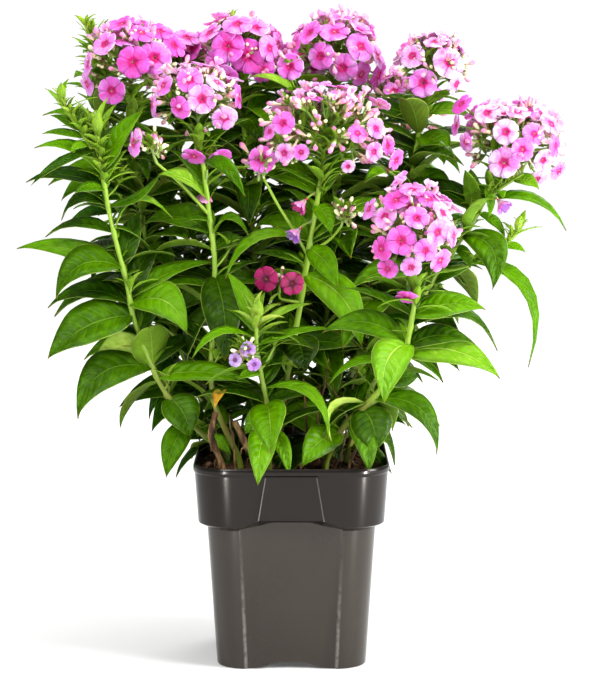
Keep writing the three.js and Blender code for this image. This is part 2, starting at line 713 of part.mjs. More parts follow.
// A blade from a point inside the stem to a sharp tip. A long one has a diamond section with a channel
// on top, a short one has a flat top and a keel. Extra makes it larger all round, for testing what it
// comes near.
function bladeSolid(leaf, extra = 0) {
  const { middle, normal, side, along } = leafFrame(leaf);
  const sections = leaf.long ? LONG_SECTIONS : SHORT_SECTIONS;
  const points = [leaf.root.clone()];
  for (const [t, share, thickness] of sections) {
    const halfWidth = leaf.width / 2 * share + extra;
    const up = normal(t);
    const centre = middle(t);
    const edge = centre.clone().addScaledVector(up, leaf.long ? FOLD * halfWidth : extra + 0.2);
    points.push(edge.clone().addScaledVector(side, halfWidth));
    if (leaf.long) {
      points.push(centre.clone().addScaledVector(up, thickness + extra));
    }
    points.push(
      edge.clone().addScaledVector(side, -halfWidth),
      centre.clone().addScaledVector(up, -thickness - extra),
    );
  }
  points.push(leaf.tip.clone().addScaledVector(along, extra));
  const last = points.length - 1;
  const corners = leaf.long ? 4 : 3;
  const triangles = [];
  for (let k = 0; k < corners; k += 1) {
    const next = (k + 1) % corners;
    triangles.push([0, 1 + next, 1 + k], [last, last - corners + k, last - corners + next]);
    for (let row = 1; row + corners < last; row += corners) {
      triangles.push([row + k, row + next, row + corners + next]);
      triangles.push([row + k, row + corners + next, row + corners + k]);
    }
  }
  const outward = along.clone().cross(side).dot(normal(0.5)) > 0;
  return solidOf(points, outward ? triangles : triangles.map(([a, b, c]) => [a, c, b]));
}

// The leaves chosen one by one, then the tuft at the tip, then the pairs, each with the other places
// that it may take.
function leafChoices(shoot, line, random) {
  const choices = [];
  for (const [height, x, y, z, width, arch, roll] of shoot.leaves) {
    const root = pointAtHeight(line, height);
    choices.push(LEAF_SHIFTS.map((shift) => {
      const tip = vec(x, y, z).add(vec(...shift));
      return { root, tip, width, arch, roll, long: width >= 20 };
    }));
  }
  const tuft = shoot.tuft ?? { count: 0 };
  for (let i = 0; i < tuft.count; i += 1) {
    const rise = radians(20 + 55 * i / tuft.count);
    const azimuth = i * GOLDEN_ANGLE;
    const length = tuft.length * (1.1 - 0.4 * i / tuft.count);
    const root = pointAtHeight(line, line.at(-1).z - 2 - 2.2 * (tuft.count - 1 - i));
    choices.push([1, 0.8].map((size) => {
      const tip = direction(azimuth, rise).multiplyScalar(length * size).add(root);
      return { root, tip, width: tuft.width * size, arch: 2, roll: 0, long: false };
    }));
  }
  const pairs = shoot.pairs ?? { from: 1, to: 0 };
  let turn = pairs.azimuth;
  for (let height = pairs.from; height <= pairs.to; height += pairs.spacing) {
    const share = (height - pairs.from) / (pairs.to - pairs.from);
    for (const opposite of [0, 180]) {
      choices.push(pairLeaf(pairs, line, height, share, turn + opposite, random));
    }
    turn += 90;
  }
  return choices.filter((leaves) => leaves.length > 0);
}

function direction(azimuth, rise) {
  return vec(
    Math.cos(azimuth) * Math.cos(rise),
    Math.sin(azimuth) * Math.cos(rise),
    Math.sin(rise),
  );
}

function pairLeaf(pairs, line, height, share, degrees, random) {
  const root = pointAtHeight(line, height + 5 * random());
  const azimuth = degrees + 30 * (random() - 0.5);
  const sideways = Math.abs(Math.cos(radians(azimuth)));
  const length = pairs.length * (0.78 + 0.5 * share - 0.8 * share * share + 0.2 * random());
  const rise = radians(-34 + 46 * share + 16 * sideways + 24 * (random() - 0.5));
  const width = length * (0.29 + 0.07 * random());
  const roll = 8 + sideways * (10 + 36 * random());
  const arch = length * (0.1 + 0.1 * random());
  const leaves = [];
  for (const size of SIZES) {
    for (const turn of TURNS) {
      const heading = radians(azimuth + turn);
      if (pairs.side === "all" || Math.sin(heading) > -0.2) {
        const tip = direction(heading, rise).multiplyScalar(length * size).add(root);
        leaves.push({ root, tip, width: width * size, arch: arch * size, roll, long: false });
      }
    }
  }
  return leaves;
}

// ---------------------------------------------------------------- flower heads
// The small green core that the flower stalks grow from, flat below where it meets the stem's tip.
function makeCore(head, tip) {
  const [rx, ry, rz] = head.radii.map((radius) => 3 + radius * CORE_SHARE);
  const centre = vec(...head.centre);
  const base = tip.clone().setZ(tip.z + GAP);
  const rows = [[0, 3, 3], [0.4, 0.7 * rx, 0.7 * ry], [0.8, rx, ry], [1, 0.6 * rx, 0.6 * ry]];
  const top = centre.z + rz;
  const rings = rows.map(([share, radiusX, radiusY]) => {
    const z = base.z + (top - base.z) * share * 0.86;
    const x = base.x + (centre.x - base.x) * Math.min(1, share * 1.6);
    const y = base.y + (centre.y - base.y) * Math.min(1, share * 1.6);
    return Array.from({ length: CORE_SIDES }, (_, k) => {
      const angle = k / CORE_SIDES * 2 * Math.PI;
      return vec(x + radiusX * Math.cos(angle), y + radiusY * Math.sin(angle), z);
    });
  });
  return loft(rings, base, vec(centre.x, centre.y, top));
}

// Five lobes round a sunken throat, flat in front, with a slim tube behind that ends in the core.
function floretSolid(floret, extra = 0) {
  const { place, facing, radius, root } = floret;
  const right = facing.clone().cross(Math.abs(facing.z) < 0.9 ? Z : vec(0, 1, 0)).normalize();
  const up = right.clone().cross(facing);
  const around = (angle, distance, depth) => place.clone()
    .addScaledVector(right, distance * Math.cos(angle))
    .addScaledVector(up, distance * Math.sin(angle))
    .addScaledVector(facing, depth);
  const points = [place.clone().addScaledVector(facing, -0.6 + extra)];
  for (let lobe = 0; lobe < FLORET_LOBES; lobe += 1) {
    const middle = floret.spin + lobe / FLORET_LOBES * 2 * Math.PI;
    const reach = radius + extra;
    points.push(around(middle - radians(18), reach, extra * 0.3));
    points.push(around(middle + radians(18), reach, extra * 0.3));
    points.push(around(middle + radians(36), reach * 0.64, extra * 0.3));
  }
  const outline = 3 * FLORET_LOBES;
  const neck = place.clone().addScaledVector(facing, -2.4 - extra);
  const backwards = root.clone().sub(neck).normalize().sub(facing).normalize();
  for (let k = 0; k < 3; k += 1) {
    const spoke = around(floret.spin + radians(120 * k), 1, 0).sub(place);
    spoke.addScaledVector(backwards, -spoke.dot(backwards)).setLength(1.9 + extra);
    points.push(neck.clone().add(spoke));
  }
  points.push(root.clone());
  const triangles = [];
  for (let i = 0; i < outline; i += 1) {
    const next = (i + 1) % outline;
    const back = outline + 1 + Math.floor(i / FLORET_LOBES);
    triangles.push([0, 1 + next, 1 + i], [1 + i, 1 + next, back]);
  }
  for (let k = 0; k < 3; k += 1) {
    const here = outline + 1 + k;
    const next = outline + 1 + (k + 1) % 3;
    triangles.push([1 + (FLORET_LOBES * (k + 1)) % outline, next, here], [here, next, outline + 4]);
  }
  return solidOf(points, triangles);
}

// A bud or an empty calyx: a slim three-sided spindle that ends in the core.
function budSolid(bud, extra = 0) {
  const right = bud.facing.clone().cross(vec(0, 1, 0.01)).normalize();
  const up = right.clone().cross(bud.facing);
  const swell = bud.tip.clone().addScaledVector(bud.facing, -5);
  const points = [bud.tip.clone().addScaledVector(bud.facing, extra), bud.root.clone()];
  for (let k = 0; k < 3; k += 1) {
    const angle = radians(120 * k);
    points.push(swell.clone()
      .addScaledVector(right, (2.4 + extra) * Math.cos(angle))
      .addScaledVector(up, (2.4 + extra) * Math.sin(angle)));
  }
  return solidOf(points, [[0, 3, 2], [0, 4, 3], [0, 2, 4], [1, 2, 3], [1, 3, 4], [1, 4, 2]]);
}

function floretAt(centre, place, facing, diameter, spin) {
  const root = centre.clone().lerp(place, ROOT_DEPTH);
  return { place, facing, radius: diameter / 2, spin, root };
}

// Each floret of a head with the other depths that it may take.
function floretChoices(head, random) {
  const centre = vec(...head.centre);
  const florets = head.florets.map(([x, y, z, diameter, right, up]) => {
    const facing = direction(radians(right - 90), radians(up));
    return floretAt(centre, vec(x, y, z).add(centre), facing, diameter, random() * 2 * Math.PI);
  });
  const tries = 60;
  let added = 0;
  for (let i = 0; i < tries && added < head.fill; i += 1) {
    const height = 0.98 - 1.5 * i / tries;
    const azimuth = i * GOLDEN_ANGLE;
    const outward = direction(azimuth, Math.asin(height));
    const place = outward.clone().multiply(vec(...head.radii)).add(centre);
    const spin = random() * 2 * Math.PI;
    if (florets.every((other) => other.place.distanceTo(place) > 22)) {
      const facing = outward.clone().add(vec(0, 0, 0.25)).normalize();
      florets.push(floretAt(centre, place, facing, 26, spin));
      added += 1;
    }
  }
  return florets.map((floret) => FLORET_SHIFTS.map((shift) => ({
    ...floret,
    place: floret.place.clone().addScaledVector(floret.facing, shift),
  })));
}

function budChoices(head, random) {
  const centre = vec(...head.centre);
  return Array.from({ length: head.buds }, (_, i) => {
    const height = 0.95 - 1.1 * (i + 0.5) / head.buds;
    const outward = direction(i * GOLDEN_ANGLE + 1.2, Math.asin(height));
    const facing = outward.clone().add(vec(0, 0, 0.5)).normalize();
    const reach = 0.86 + 0.22 * random();
    return [reach, reach - 0.12, reach + 0.12].map((share) => {
      const tip = outward.clone().multiply(vec(...head.radii)).multiplyScalar(share).add(centre);
      return { tip, facing, root: centre.clone().lerp(tip, ROOT_DEPTH) };
    });
  });
}

// ---------------------------------------------------------------- keeping pieces clear of each other
const placed = [];

function boxOf(solid) {
  const { min, max } = solid.boundingBox();
  return new THREE.Box3(vec(...min), vec(...max));
}

function isClear(solid, node, sameNode) {
  const box = boxOf(solid);
  return placed.every((other) => {
    const relevant = sameNode ? other.node === node && !other.body : other.node !== node;
    return !relevant || !other.box.intersectsBox(box) || solid.intersect(other.solid).isEmpty();
  });
}

// Places the first choice that is clear of everything. Failing that, a floret takes the first that
// is clear of the other nodes, and a leaf is left out.
function placeFirstClear(node, choices, makeSolid, mayTouchOwn) {
  const open = choices.filter((choice) => isClear(makeSolid(choice, CLEARANCE), node, false));
  const free = open.find((choice) => isClear(makeSolid(choice, 0.2), node, true));
  const chosen = free ?? (mayTouchOwn ? open[0] : undefined);
  if (chosen) {
    const solid = makeSolid(chosen);
    placed.push({ node, solid, box: boxOf(solid) });
  }
}

function addBody(node, solid) {
  placed.push({ node, solid, box: boxOf(solid), body: true });
}

function fused(node) {
  return placed.filter((piece) => piece.node === node)
    .map((piece) => piece.solid)
    .reduce((whole, solid) => whole.add(solid));
}

// ---------------------------------------------------------------- assembly
const pot = makePot();
addBody("pot", pot);
const rooted = SHOOTS.filter((shoot) => shoot.rooted);
const soil = makeSoil(rooted.map(makeHole));
addBody("soil", soil);

const trunks = new Map();
const lines = SHOOTS.map((shoot) => {
  const line = middleLine(shoot, trunks.get(shoot.node));
  if (shoot.rooted) {
    trunks.set(shoot.node, line);
  }
  addBody(shoot.node, tube(line, shoot.radius, shoot.rooted));
  return line;
});

for (const head of HEADS) {
  const centre = vec(...head.centre);
  const tips = lines.map((line) => line.at(-1));
  const tip = tips.reduce((a, b) => (b.distanceTo(centre) < a.distanceTo(centre) ? b : a));
  addBody(head.node, makeCore(head, tip));
}
HEADS.forEach((head, i) => {
  const random = makeRandom(100 + i);
  for (const choices of floretChoices(head, random)) {
    placeFirstClear(head.node, choices, floretSolid, true);
  }
  for (const choices of budChoices(head, random)) {
    placeFirstClear(head.node, choices, budSolid, false);
  }
});

SHOOTS.forEach((shoot, i) => {
  const random = makeRandom(200 + i);
  leafChoices(shoot, lines[i], random).forEach((choices, k) => {
    placeFirstClear(shoot.node, choices, bladeSolid, k < shoot.leaves.length);
  });
});

const group = new THREE.Group();
for (const node of new Set(placed.map((piece) => piece.node))) {
  const kind = Object.keys(COLOURS).find((name) => node.startsWith(name));
  group.add(meshOf(fused(node), node, COLOURS[kind]));
}

export default group;
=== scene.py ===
"""A border phlox in bloom in its square nursery pot: the finished look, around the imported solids.

Blender works in metres with +Z up. Rows of the plant's points and sizes are in millimetres, as in the
part's source, and MM turns them into metres where a mesh is made.
"""

import math

import bmesh
import bpy
import numpy as np
from mathutils import Matrix, Vector, kdtree, noise


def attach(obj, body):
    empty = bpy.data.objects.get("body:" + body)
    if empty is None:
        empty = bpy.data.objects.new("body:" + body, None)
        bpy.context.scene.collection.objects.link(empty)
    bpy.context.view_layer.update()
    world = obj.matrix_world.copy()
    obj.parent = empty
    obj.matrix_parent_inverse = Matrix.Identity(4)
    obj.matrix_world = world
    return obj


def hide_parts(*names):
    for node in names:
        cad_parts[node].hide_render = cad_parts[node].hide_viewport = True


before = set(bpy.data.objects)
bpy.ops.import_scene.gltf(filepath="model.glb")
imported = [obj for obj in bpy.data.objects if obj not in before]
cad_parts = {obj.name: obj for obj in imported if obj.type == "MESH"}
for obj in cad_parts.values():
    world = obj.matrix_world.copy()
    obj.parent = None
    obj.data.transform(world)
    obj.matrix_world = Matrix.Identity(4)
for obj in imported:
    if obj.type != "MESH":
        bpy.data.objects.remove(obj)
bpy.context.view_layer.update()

MM = 0.001

# ---------------------------------------------------------------- camera and view
CAMERA_PLACE = (0.008, -2.0, 0.535)
CAMERA_PITCH = math.radians(6.84)
CAMERA_LENS = 113.6
SENSOR = 36.0

# ---------------------------------------------------------------- lights
# Each softbox's name, its place, what it looks at, its size and its power.
SOFTBOXES = [
    ("key", (-0.7, -1.7, 1.9), (0, 0, 0.4), (0.9, 0.9), 40),
    ("right", (1.6, -0.7, 0.9), (0, 0, 0.35), (0.7, 1.2), 56),
    ("top", (0.2, 0.2, 2.2), (0, 0, 0.3), (1.4, 1.4), 23),
    ("behind", (0.8, 1.6, 1.3), (0, 0, 0.4), (1.2, 0.8), 20),
]
# Narrow strips that only the pot's gloss shows: name, place and power.
STRIPS = [("left_strip", (-0.23, -0.56, 0.14), 2.5), ("right_strip", (0.45, -0.5, 0.14), 8)]
STRIP_SIZE = (0.02, 0.26)
STRIP_AIM = (0, 0, 0.14)
ROOM_LIGHT = 0.42
BACKDROP_LIGHT = 1.05
FLOOR_SIZE = 16

# ---------------------------------------------------------------- pot, sizes in mm
POT_HEIGHT = 190.0
BASE_HALF = 69.0
BODY_TOP = 131.0
BODY_TOP_HALF = 77.5
RIM_HALF = 90.0
# The share of each half side that the rounded corner takes.
POT_CORNER = 0.39
# Arches under the base and under the collar: how far the middle of each side rises.
FOOT_WIDTH = 12.0
FOOT_RISE = 6.0
COLLAR_RISE = 8.0
# Each side's middle is divided this many times.
SIDE_CUTS = 9
SIDE_RECESS = 0.8
# The heights of the rings that are arched, and how far out the inner wall may lie there.
FOOT_RINGS = (-1.0, 1.2)
COLLAR_RINGS = (130.5, 137.8)
INNER_WALL_HALF = 76.5
# The pot's outline from under its floor, over the lip and down inside: half a side, and the height.
POT_RINGS = [
    (BASE_HALF - FOOT_WIDTH, 0.0), (BASE_HALF - 0.8, 0.0), (BASE_HALF, 0.9), (BODY_TOP_HALF, BODY_TOP),
    (84.6, 135.0), (85.4, 135.8), (85.6, 137.4), (88.6, 182.2), (89.5, 183.2), (90.0, 184.6),
    (RIM_HALF, 187.6), (89.6, 189.2), (89.0, POT_HEIGHT), (88.3, 189.8), (87.5, 188.6), (86.9, 186.0),
    (77.0, 141.0), (75.4, 134.0), (67.3, 8.5),
]
# Points this close to a line of the pot count as on it.
ON_LINE = 0.6
# The painted highlight lines beside the corners lie where a side's lesser coordinate is this share of the
# greater.
HIGHLIGHT_LINE_SHARE = 0.605
# Above this height the pot's faces take the collar's darker plastic, a painted shade.
COLLAR_START = 136.2
LABEL_BOTTOM, LABEL_TOP = 141.0, 183.0
LABEL_BOTTOM_HALF, LABEL_TOP_HALF = 30.5, 23.5
LABEL_FRONT, LABEL_THICKNESS = 86.8, 2.2
LABEL_EDGE = 1.3
SOIL_TOP = 177.0
SOIL_HALF = 83.0
# Crumbs keep within a square of this half side with corners of this radius round it.
CRUMB_HALF, CRUMB_CORNER = 50, 30
# Soil crumbs: the radius of each size, and how many are tried.
CRUMBS = [(4.2, 70), (2.4, 240), (1.3, 360)]

# ---------------------------------------------------------------- plant, sizes in mm, as in the solids
STEM_FOOT = 156.0
BEND = 0.8
FOLD = 0.22
GOLDEN_ANGLE = math.pi * (3 - math.sqrt(5))
KEY_TOLERANCE = 0.05
# The shifts, turns and sizes that a leaf or floret tries in turn until it is clear of its neighbours.
LEAF_SHIFTS = [
    (0, 0, 0), (0, -8, 0), (0, 8, 0), (0, 0, -7), (0, 0, 7), (0, -16, 0), (0, 16, 0),
    (0, -16, -8), (0, 16, -8), (0, -26, 0), (0, 26, 0), (0, -34, -10), (0, 34, -10),
]
TURNS = [0, 18, -18, 36, -36]
SIZES = [1, 0.84, 0.68]
FLORET_SHIFTS = [0, 2.5, -2.5, 5, -5, 8]
# In the solids, a corner lies this far behind each floret's place.
FLORET_BACK = 0.6

# Leaves at least this wide take the finest and the middle one of the three blades.
LONG_WIDTH, SHORT_WIDTH = 20, 9
# A floret's lobe: how far out each row of it lies, and half its width there, for a radius of 1.
LOBE_ROWS = [(0.1, 0.08), (0.36, 0.28), (0.64, 0.5), (0.86, 0.52), (1.0, 0.23)]
LOBES = 5
# Half the width of each ring of a bud, for a length of 1.
BUD_WIDTHS = (0.09, 0.12, 0.17, 0.22, 0.21, 0.12)
OPENING_WIDTHS = (0.05, 0.05, 0.055, 0.11, 0.15, 0.09)

# How light a leaf is painted, from the darkest green to a pale underside: partly its own green, partly
# painted shade and light for how much light falls on it.
TONES = {"dark": 0.12, "mid": 0.42, "bright": 0.7, "lime": 0.95, "pale": 1.2}
# Painted light: how much lighter a leaf is painted for each mm towards the right, the side the light
# falls on.
PAINTED_LIGHT_RIGHTWARD = 0.0003
# The extra leaves in the shade reach no further than this to the left and right of the middle.
SHADED_LIMIT = 200

# Shoots: the node each belongs to, the radius at its base and tip, whether it is rooted in the soil,
# and the points that its middle line passes through. A leaf is [height on the shoot, tip x, tip y,
# tip z, width, arch, roll in degrees towards the front, tone]. Pairs are the leaf pairs between two
# heights, and a tuft is the cluster of young leaves at the tip.
SHOOTS = [
    {
        "node": "stem_front_left", "radius": [3.0, 1.8], "rooted": True,
        "route": [
            [-60, 5, 184], [-79, 2, 204], [-102, -8, 227], [-122, -24, 260], [-134, -36, 292],
            [-144, -44, 322], [-149, -50, 353], [-157, -55, 387], [-165, -60, 426], [-170, -63, 462],
            [-174, -64, 495],
        ],
        "leaves": [
            [445, -146, -70, 476, 13, 3, 55, "lime"], [455, -132, -55, 510, 24, 5, 50, "bright"],
            [450, -228, -75, 478, 18, 14, 40, "bright"], [475, -228, -70, 456, 12, 6, 25, "dark"],
            [440, -240, -45, 446, 18, 10, 40, "dark"], [440, -192, -85, 438, 12, 4, 45, "mid"],
            [425, -208, -50, 412, 16, 14, 40, "dark"], [400, -224, -40, 396, 18, 10, 30, "dark"],
            [365, -252, -20, 384, 26, 10, 40, "bright"], [385, -194, -15, 382, 18, 4, 30, "dark"],
            [370, -212, -50, 342, 34, 18, 50, "mid"], [400, -106, -65, 414, 13, 26, 30, "lime"],
            [370, -138, -35, 418, 22, 4, 25, "dark"], [425, -116, -65, 456, 14, -8, 35, "mid"],
            [340, -70, -35, 372, 20, 8, 35, "mid"], [335, -94, -75, 310, 34, 18, 55, "bright"],
            [325, -220, -65, 288, 42, 10, 55, "mid"], [335, -224, -25, 330, 24, 14, 40, "dark"],
            [295, -178, -25, 290, 26, 4, -55, "pale"], [275, -128, -50, 316, 36, 8, 25, "mid"],
            [275, -196, -45, 230, 37, 22, 55, "mid"], [270, -118, -15, 244, 24, 3, 25, "dark"],
            [265, -36, -50, 262, 22, 8, 50, "bright"], [245, -94, -30, 210, 34, 6, 50, "mid"],
            [245, -78, -10, 216, 20, 4, 50, "dark"], [220, -116, -30, 172, 24, 8, 45, "mid"],
            [205, -56, -15, 190, 13, 4, 55, "bright"], [205, -28, -5, 234, 12, 4, 30, "mid"],
        ],
        "pairs": {"from": 240, "to": 430, "spacing": 60, "azimuth": 70, "length": 84, "side": "back"},
        "tuft": {"count": 6, "length": 42, "width": 13},
    },
    {
        "node": "stem_a", "radius": [2.8, 1.9], "rooted": True,
        "route": [
            [-42, 40, 184], [-92, 52, 252], [-121, 48, 320], [-138, 42, 387], [-145, 34, 454],
            [-148, 26, 508], [-150, 24, 532],
        ],
        "pairs": {"from": 240, "to": 500, "spacing": 46, "azimuth": 20, "length": 108, "side": "all"},
    },
    {
        "node": "stem_a_back", "radius": [2.6, 1.4], "rooted": True,
        "route": [
            [-56, 56, 184], [-111, 78, 268], [-147, 86, 355], [-171, 84, 452], [-183, 80, 524],
            [-188, 76, 571],
        ],
        "pairs": {"from": 240, "to": 530, "spacing": 47, "azimuth": 65, "length": 96, "side": "all"},
        "tuft": {"count": 6, "length": 38, "width": 11},
    },
    {
        "node": "stem_b", "radius": [2.8, 2.0], "rooted": True,
        "route": [
            [-16, 42, 184], [-29, 56, 261], [-32, 62, 337], [-40, 62, 424], [-46, 68, 500],
            [-49, 62, 540],
        ],
        "pairs": {"from": 240, "to": 515, "spacing": 43, "azimuth": 40, "length": 106, "side": "all"},
    },
    {
        "node": "stem_c", "radius": [3.0, 1.9], "rooted": True,
        "route": [
            [-48, -18, 184], [-72, -24, 243], [-73, -30, 295], [-70, -36, 342], [-70, -42, 379],
            [-74, -49, 416], [-79, -56, 462], [-83, -60, 495],
        ],
        "leaves": [
            [430, -118, -65, 454, 22, 8, 45, "lime"], [465, -40, -80, 446, 14, 12, 45, "mid"],
            [385, -40, -35, 392, 18, 4, 40, "dark"], [395, -38, -60, 398, 14, 18, 30, "mid"],
            [410, -96, -55, 410, 12, 4, 25, "mid"], [360, -60, -70, 286, 36, 16, 25, "dark"],
            [330, -96, -20, 270, 34, 8, 50, "dark"],
        ],
        "pairs": {"from": 240, "to": 470, "spacing": 52, "azimuth": 60, "length": 92, "side": "back"},
    },
    {
        "node": "stem_d", "radius": [3.2, 2.0], "rooted": True,
        "route": [
            [-12, 8, 184], [-8, 2, 232], [-1, -8, 279], [9, -20, 336], [16, -32, 383], [23, -42, 425],
            [28, -48, 457],
        ],
        "leaves": [
            [390, -60, -55, 358, 18, 24, 25, "bright"], [370, -34, -30, 380, 12, 4, 40, "mid"],
            [360, 64, -65, 298, 32, 16, 50, "bright"], [425, 36, -65, 400, 18, 5, 25, "bright"],
            [385, 42, -65, 352, 22, 6, 50, "bright"], [300, 12, -30, 272, 34, 6, 25, "dark"],
            [295, 60, -10, 292, 24, 3, 50, "dark"], [230, 40, -30, 188, 36, 16, 45, "bright"],
        ],
        "pairs": {"from": 240, "to": 440, "spacing": 50, "azimuth": 45, "length": 94, "side": "back"},
    },
    {
        "node": "stem_e", "radius": [2.8, 1.9], "rooted": True,
        "route": [
            [24, 38, 184], [25, 50, 262], [37, 58, 338], [41, 62, 424], [42, 68, 500], [42, 64, 538],
        ],
        "leaves": [[515, 74, 55, 524, 13, 4, 55, "bright"], [510, -6, 55, 520, 14, 8, 45, "lime"]],
        "pairs": {"from": 240, "to": 515, "spacing": 43, "azimuth": 10, "length": 106, "side": "all"},
    },
    {
        "node": "stem_f", "radius": [3.0, 2.0], "rooted": True,
        "route": [
            [40, 30, 184], [58, 42, 263], [89, 46, 339], [105, 38, 406], [115, 28, 459], [121, 22, 501],
            [124, 20, 523],
        ],
        "leaves": [
            [500, 54, 20, 516, 22, 5, 45, "dark"], [505, 170, 10, 500, 18, 8, 40, "bright"],
            [485, 142, 10, 460, 28, 10, 45, "bright"], [475, 162, 30, 458, 14, 4, 45, "mid"],
            [450, 150, 15, 420, 26, 8, 45, "mid"], [495, 82, 25, 498, 12, 3, 30, "dark"],
            [385, 36, 30, 388, 18, 6, 40, "dark"],
        ],
        "pairs": {"from": 240, "to": 500, "spacing": 46, "azimuth": 55, "length": 104, "side": "all"},
    },
    {
        "node": "stem_g", "radius": [3.0, 1.9], "rooted": True,
        "route": [
            [52, 4, 184], [76, 2, 254], [113, 8, 316], [139, 8, 365], [163, 4, 397], [179, 0, 427],
            [190, -2, 453],
        ],
        "leaves": [
            [370, 220, -20, 274, 18, 44, 30, "mid"], [395, 186, -10, 346, 30, 20, 55, "mid"],
            [415, 198, -5, 392, 12, 5, 40, "mid"], [425, 254, -10, 400, 16, 18, 30, "mid"],
            [435, 158, -10, 432, 14, 4, 45, "mid"], [445, 214, 5, 442, 12, 5, 45, "mid"],
            [385, 166, 0, 364, 12, 3, 30, "mid"],
        ],
        "pairs": {"from": 240, "to": 430, "spacing": 52, "azimuth": 30, "length": 96, "side": "all"},
    },
    {
        "node": "stem_h", "radius": [3.0, 2.1], "rooted": True,
        "route": [
            [32, -28, 184], [50, -44, 224], [73, -62, 249], [93, -82, 281], [104, -96, 308],
            [108, -106, 334], [110, -114, 360],
        ],
        "leaves": [
            [330, 48, -95, 354, 14, 5, 25, "mid"], [330, 172, -100, 336, 26, 8, 55, "bright"],
            [305, 82, -125, 256, 36, 18, 55, "bright"], [295, 186, -95, 274, 32, 14, 55, "bright"],
            [300, 164, -65, 304, 22, 10, 50, "dark"], [320, 186, -70, 296, 20, 24, 35, "dark"],
            [285, 34, -80, 266, 13, 12, 35, "bright"], [245, 36, -65, 212, 18, 20, -40, "pale"],
            [250, 132, -75, 202, 24, 22, 50, "mid"], [240, 76, -70, 202, 38, 8, 50, "dark"],
            [230, 70, -75, 176, 22, 12, 25, "mid"], [235, 96, -30, 184, 24, 8, 50, "dark"],
            [265, 116, -45, 268, 22, 3, 50, "dark"], [215, 10, -65, 188, 28, 8, 55, "bright"],
        ],
        "pairs": {"from": 250, "to": 335, "spacing": 50, "azimuth": 80, "length": 80, "side": "back"},
    },
    {
        "node": "stem_front", "radius": [2.6, 1.6], "rooted": True,
        "route": [[-20, -42, 184], [-22, -58, 241], [-26, -66, 268], [-31, -74, 296], [-31, -80, 326]],
        "leaves": [
            [310, -58, -65, 366, 18, 5, 50, "bright"], [305, -88, -85, 292, 14, 16, 20, "bright"],
            [315, 18, -90, 340, 13, 4, 30, "lime"], [300, 38, -80, 316, 13, 5, 30, "bright"],
            [280, -12, -55, 318, 18, 3, 50, "mid"], [275, -48, -80, 270, 12, 3, 40, "bright"],
            [260, 34, -85, 216, 14, 24, 35, "bright"], [245, -18, -95, 206, 34, 12, 25, "bright"],
            [220, -30, -85, 176, 26, 14, 25, "bright"], [230, -42, -70, 212, 20, 5, 50, "mid"],
            [220, -2, -90, 182, 15, 10, 25, "bright"],
        ],
        "pairs": {"from": 240, "to": 300, "spacing": 50, "azimuth": 60, "length": 58, "side": "back"},
        "tuft": {"count": 5, "length": 42, "width": 16},
    },
    {
        "node": "stem_j", "radius": [2.8, 1.9], "rooted": True,
        "route": [
            [-20, 62, 184], [-52, 80, 258], [-84, 90, 345], [-104, 95, 432], [-110, 90, 495],
            [-111, 84, 526],
        ],
        "pairs": {"from": 234, "to": 520, "spacing": 43, "azimuth": 75, "length": 80, "side": "all"},
    },
    {
        "node": "stem_k", "radius": [2.8, 1.9], "rooted": True,
        "route": [
            [10, 66, 184], [8, 86, 257], [14, 106, 343], [8, 112, 431], [0, 106, 490], [-2, 100, 513],
        ],
        "pairs": {"from": 236, "to": 505, "spacing": 43, "azimuth": 35, "length": 76, "side": "all"},
    },
    {
        "node": "stem_l", "radius": [2.8, 1.9], "rooted": True,
        "route": [
            [46, 58, 184], [58, 74, 258], [91, 92, 344], [103, 96, 412], [108, 92, 461], [108, 88, 484],
        ],
        "pairs": {"from": 234, "to": 480, "spacing": 43, "azimuth": 15, "length": 78, "side": "all"},
    },
    {
        "node": "stem_front_left", "radius": [1.6, 1.1], "rooted": False,
        "route": [[-169, -63, 458], [-186, -62, 488], [-208, -60, 520]],
        "leaves": [
            [486, -222, -70, 490, 11, 3, 40, "mid"], [492, -216, -55, 506, 11, 3, 40, "mid"],
            [480, -196, -80, 474, 10, 3, 40, "bright"],
        ],
        "tuft": {"count": 4, "length": 30, "width": 11},
    },
    {
        "node": "stem_c", "radius": [1.6, 1.2], "rooted": False,
        "route": [[-74, -49, 416], [-97, -60, 443], [-120, -70, 464]],
    },
    {
        "node": "stem_d", "radius": [1.6, 1.2], "rooted": False,
        "route": [[15, -31, 378], [2, -38, 402], [-13, -45, 427], [-25, -50, 450]],
    },
    {
        "node": "stem_d", "radius": [1.5, 1.1], "rooted": False,
        "route": [[15, -31, 381], [33, -44, 392], [45, -55, 406]],
    },
    {
        "node": "stem_d", "radius": [1.4, 1.1], "rooted": False,
        "route": [[-1, -19, 334], [-9, -30, 338], [-11, -36, 344]],
    },
    {
        "node": "stem_e", "radius": [1.5, 1.1], "rooted": False,
        "route": [[41, 70, 478], [22, 56, 504], [5, 32, 526], [0, 12, 538]],
        "leaves": [
            [518, -38, 20, 541, 14, 8, 40, "lime"], [522, -4, 5, 528, 10, 3, 40, "bright"],
            [528, 14, 2, 526, 10, 3, 40, "bright"], [512, -2, 55, 548, 9, 3, 30, "dark"],
        ],
    },
    {
        "node": "stem_g", "radius": [1.5, 1.1], "rooted": False,
        "route": [[179, 0, 426], [196, -5, 440], [214, -7, 452]],
        "leaves": [[446, 228, -14, 438, 15, 4, 45, "bright"]],
        "tuft": {"count": 2, "length": 24, "width": 9},
    },
    {
        "node": "stem_g", "radius": [1.7, 1.2], "rooted": False,
        "route": [[138, 8, 364], [150, 4, 362], [176, -2, 371], [198, -8, 386], [213, -11, 402]],
        "leaves": [[384, 216, -16, 380, 10, 3, 40, "bright"]],
        "tuft": {"count": 4, "length": 26, "width": 11},
    },
    {
        "node": "stem_front", "radius": [1.3, 1.0], "rooted": False,
        "route": [[-32, -71, 282], [-37, -79, 286], [-40, -86, 290]],
    },
    {
        "node": "dry_stalk_left", "radius": [3.4, 2.6], "rooted": True,
        "route": [[-64, -46, 184], [-73, -51, 212], [-69, -48, 236]],
    },
    {
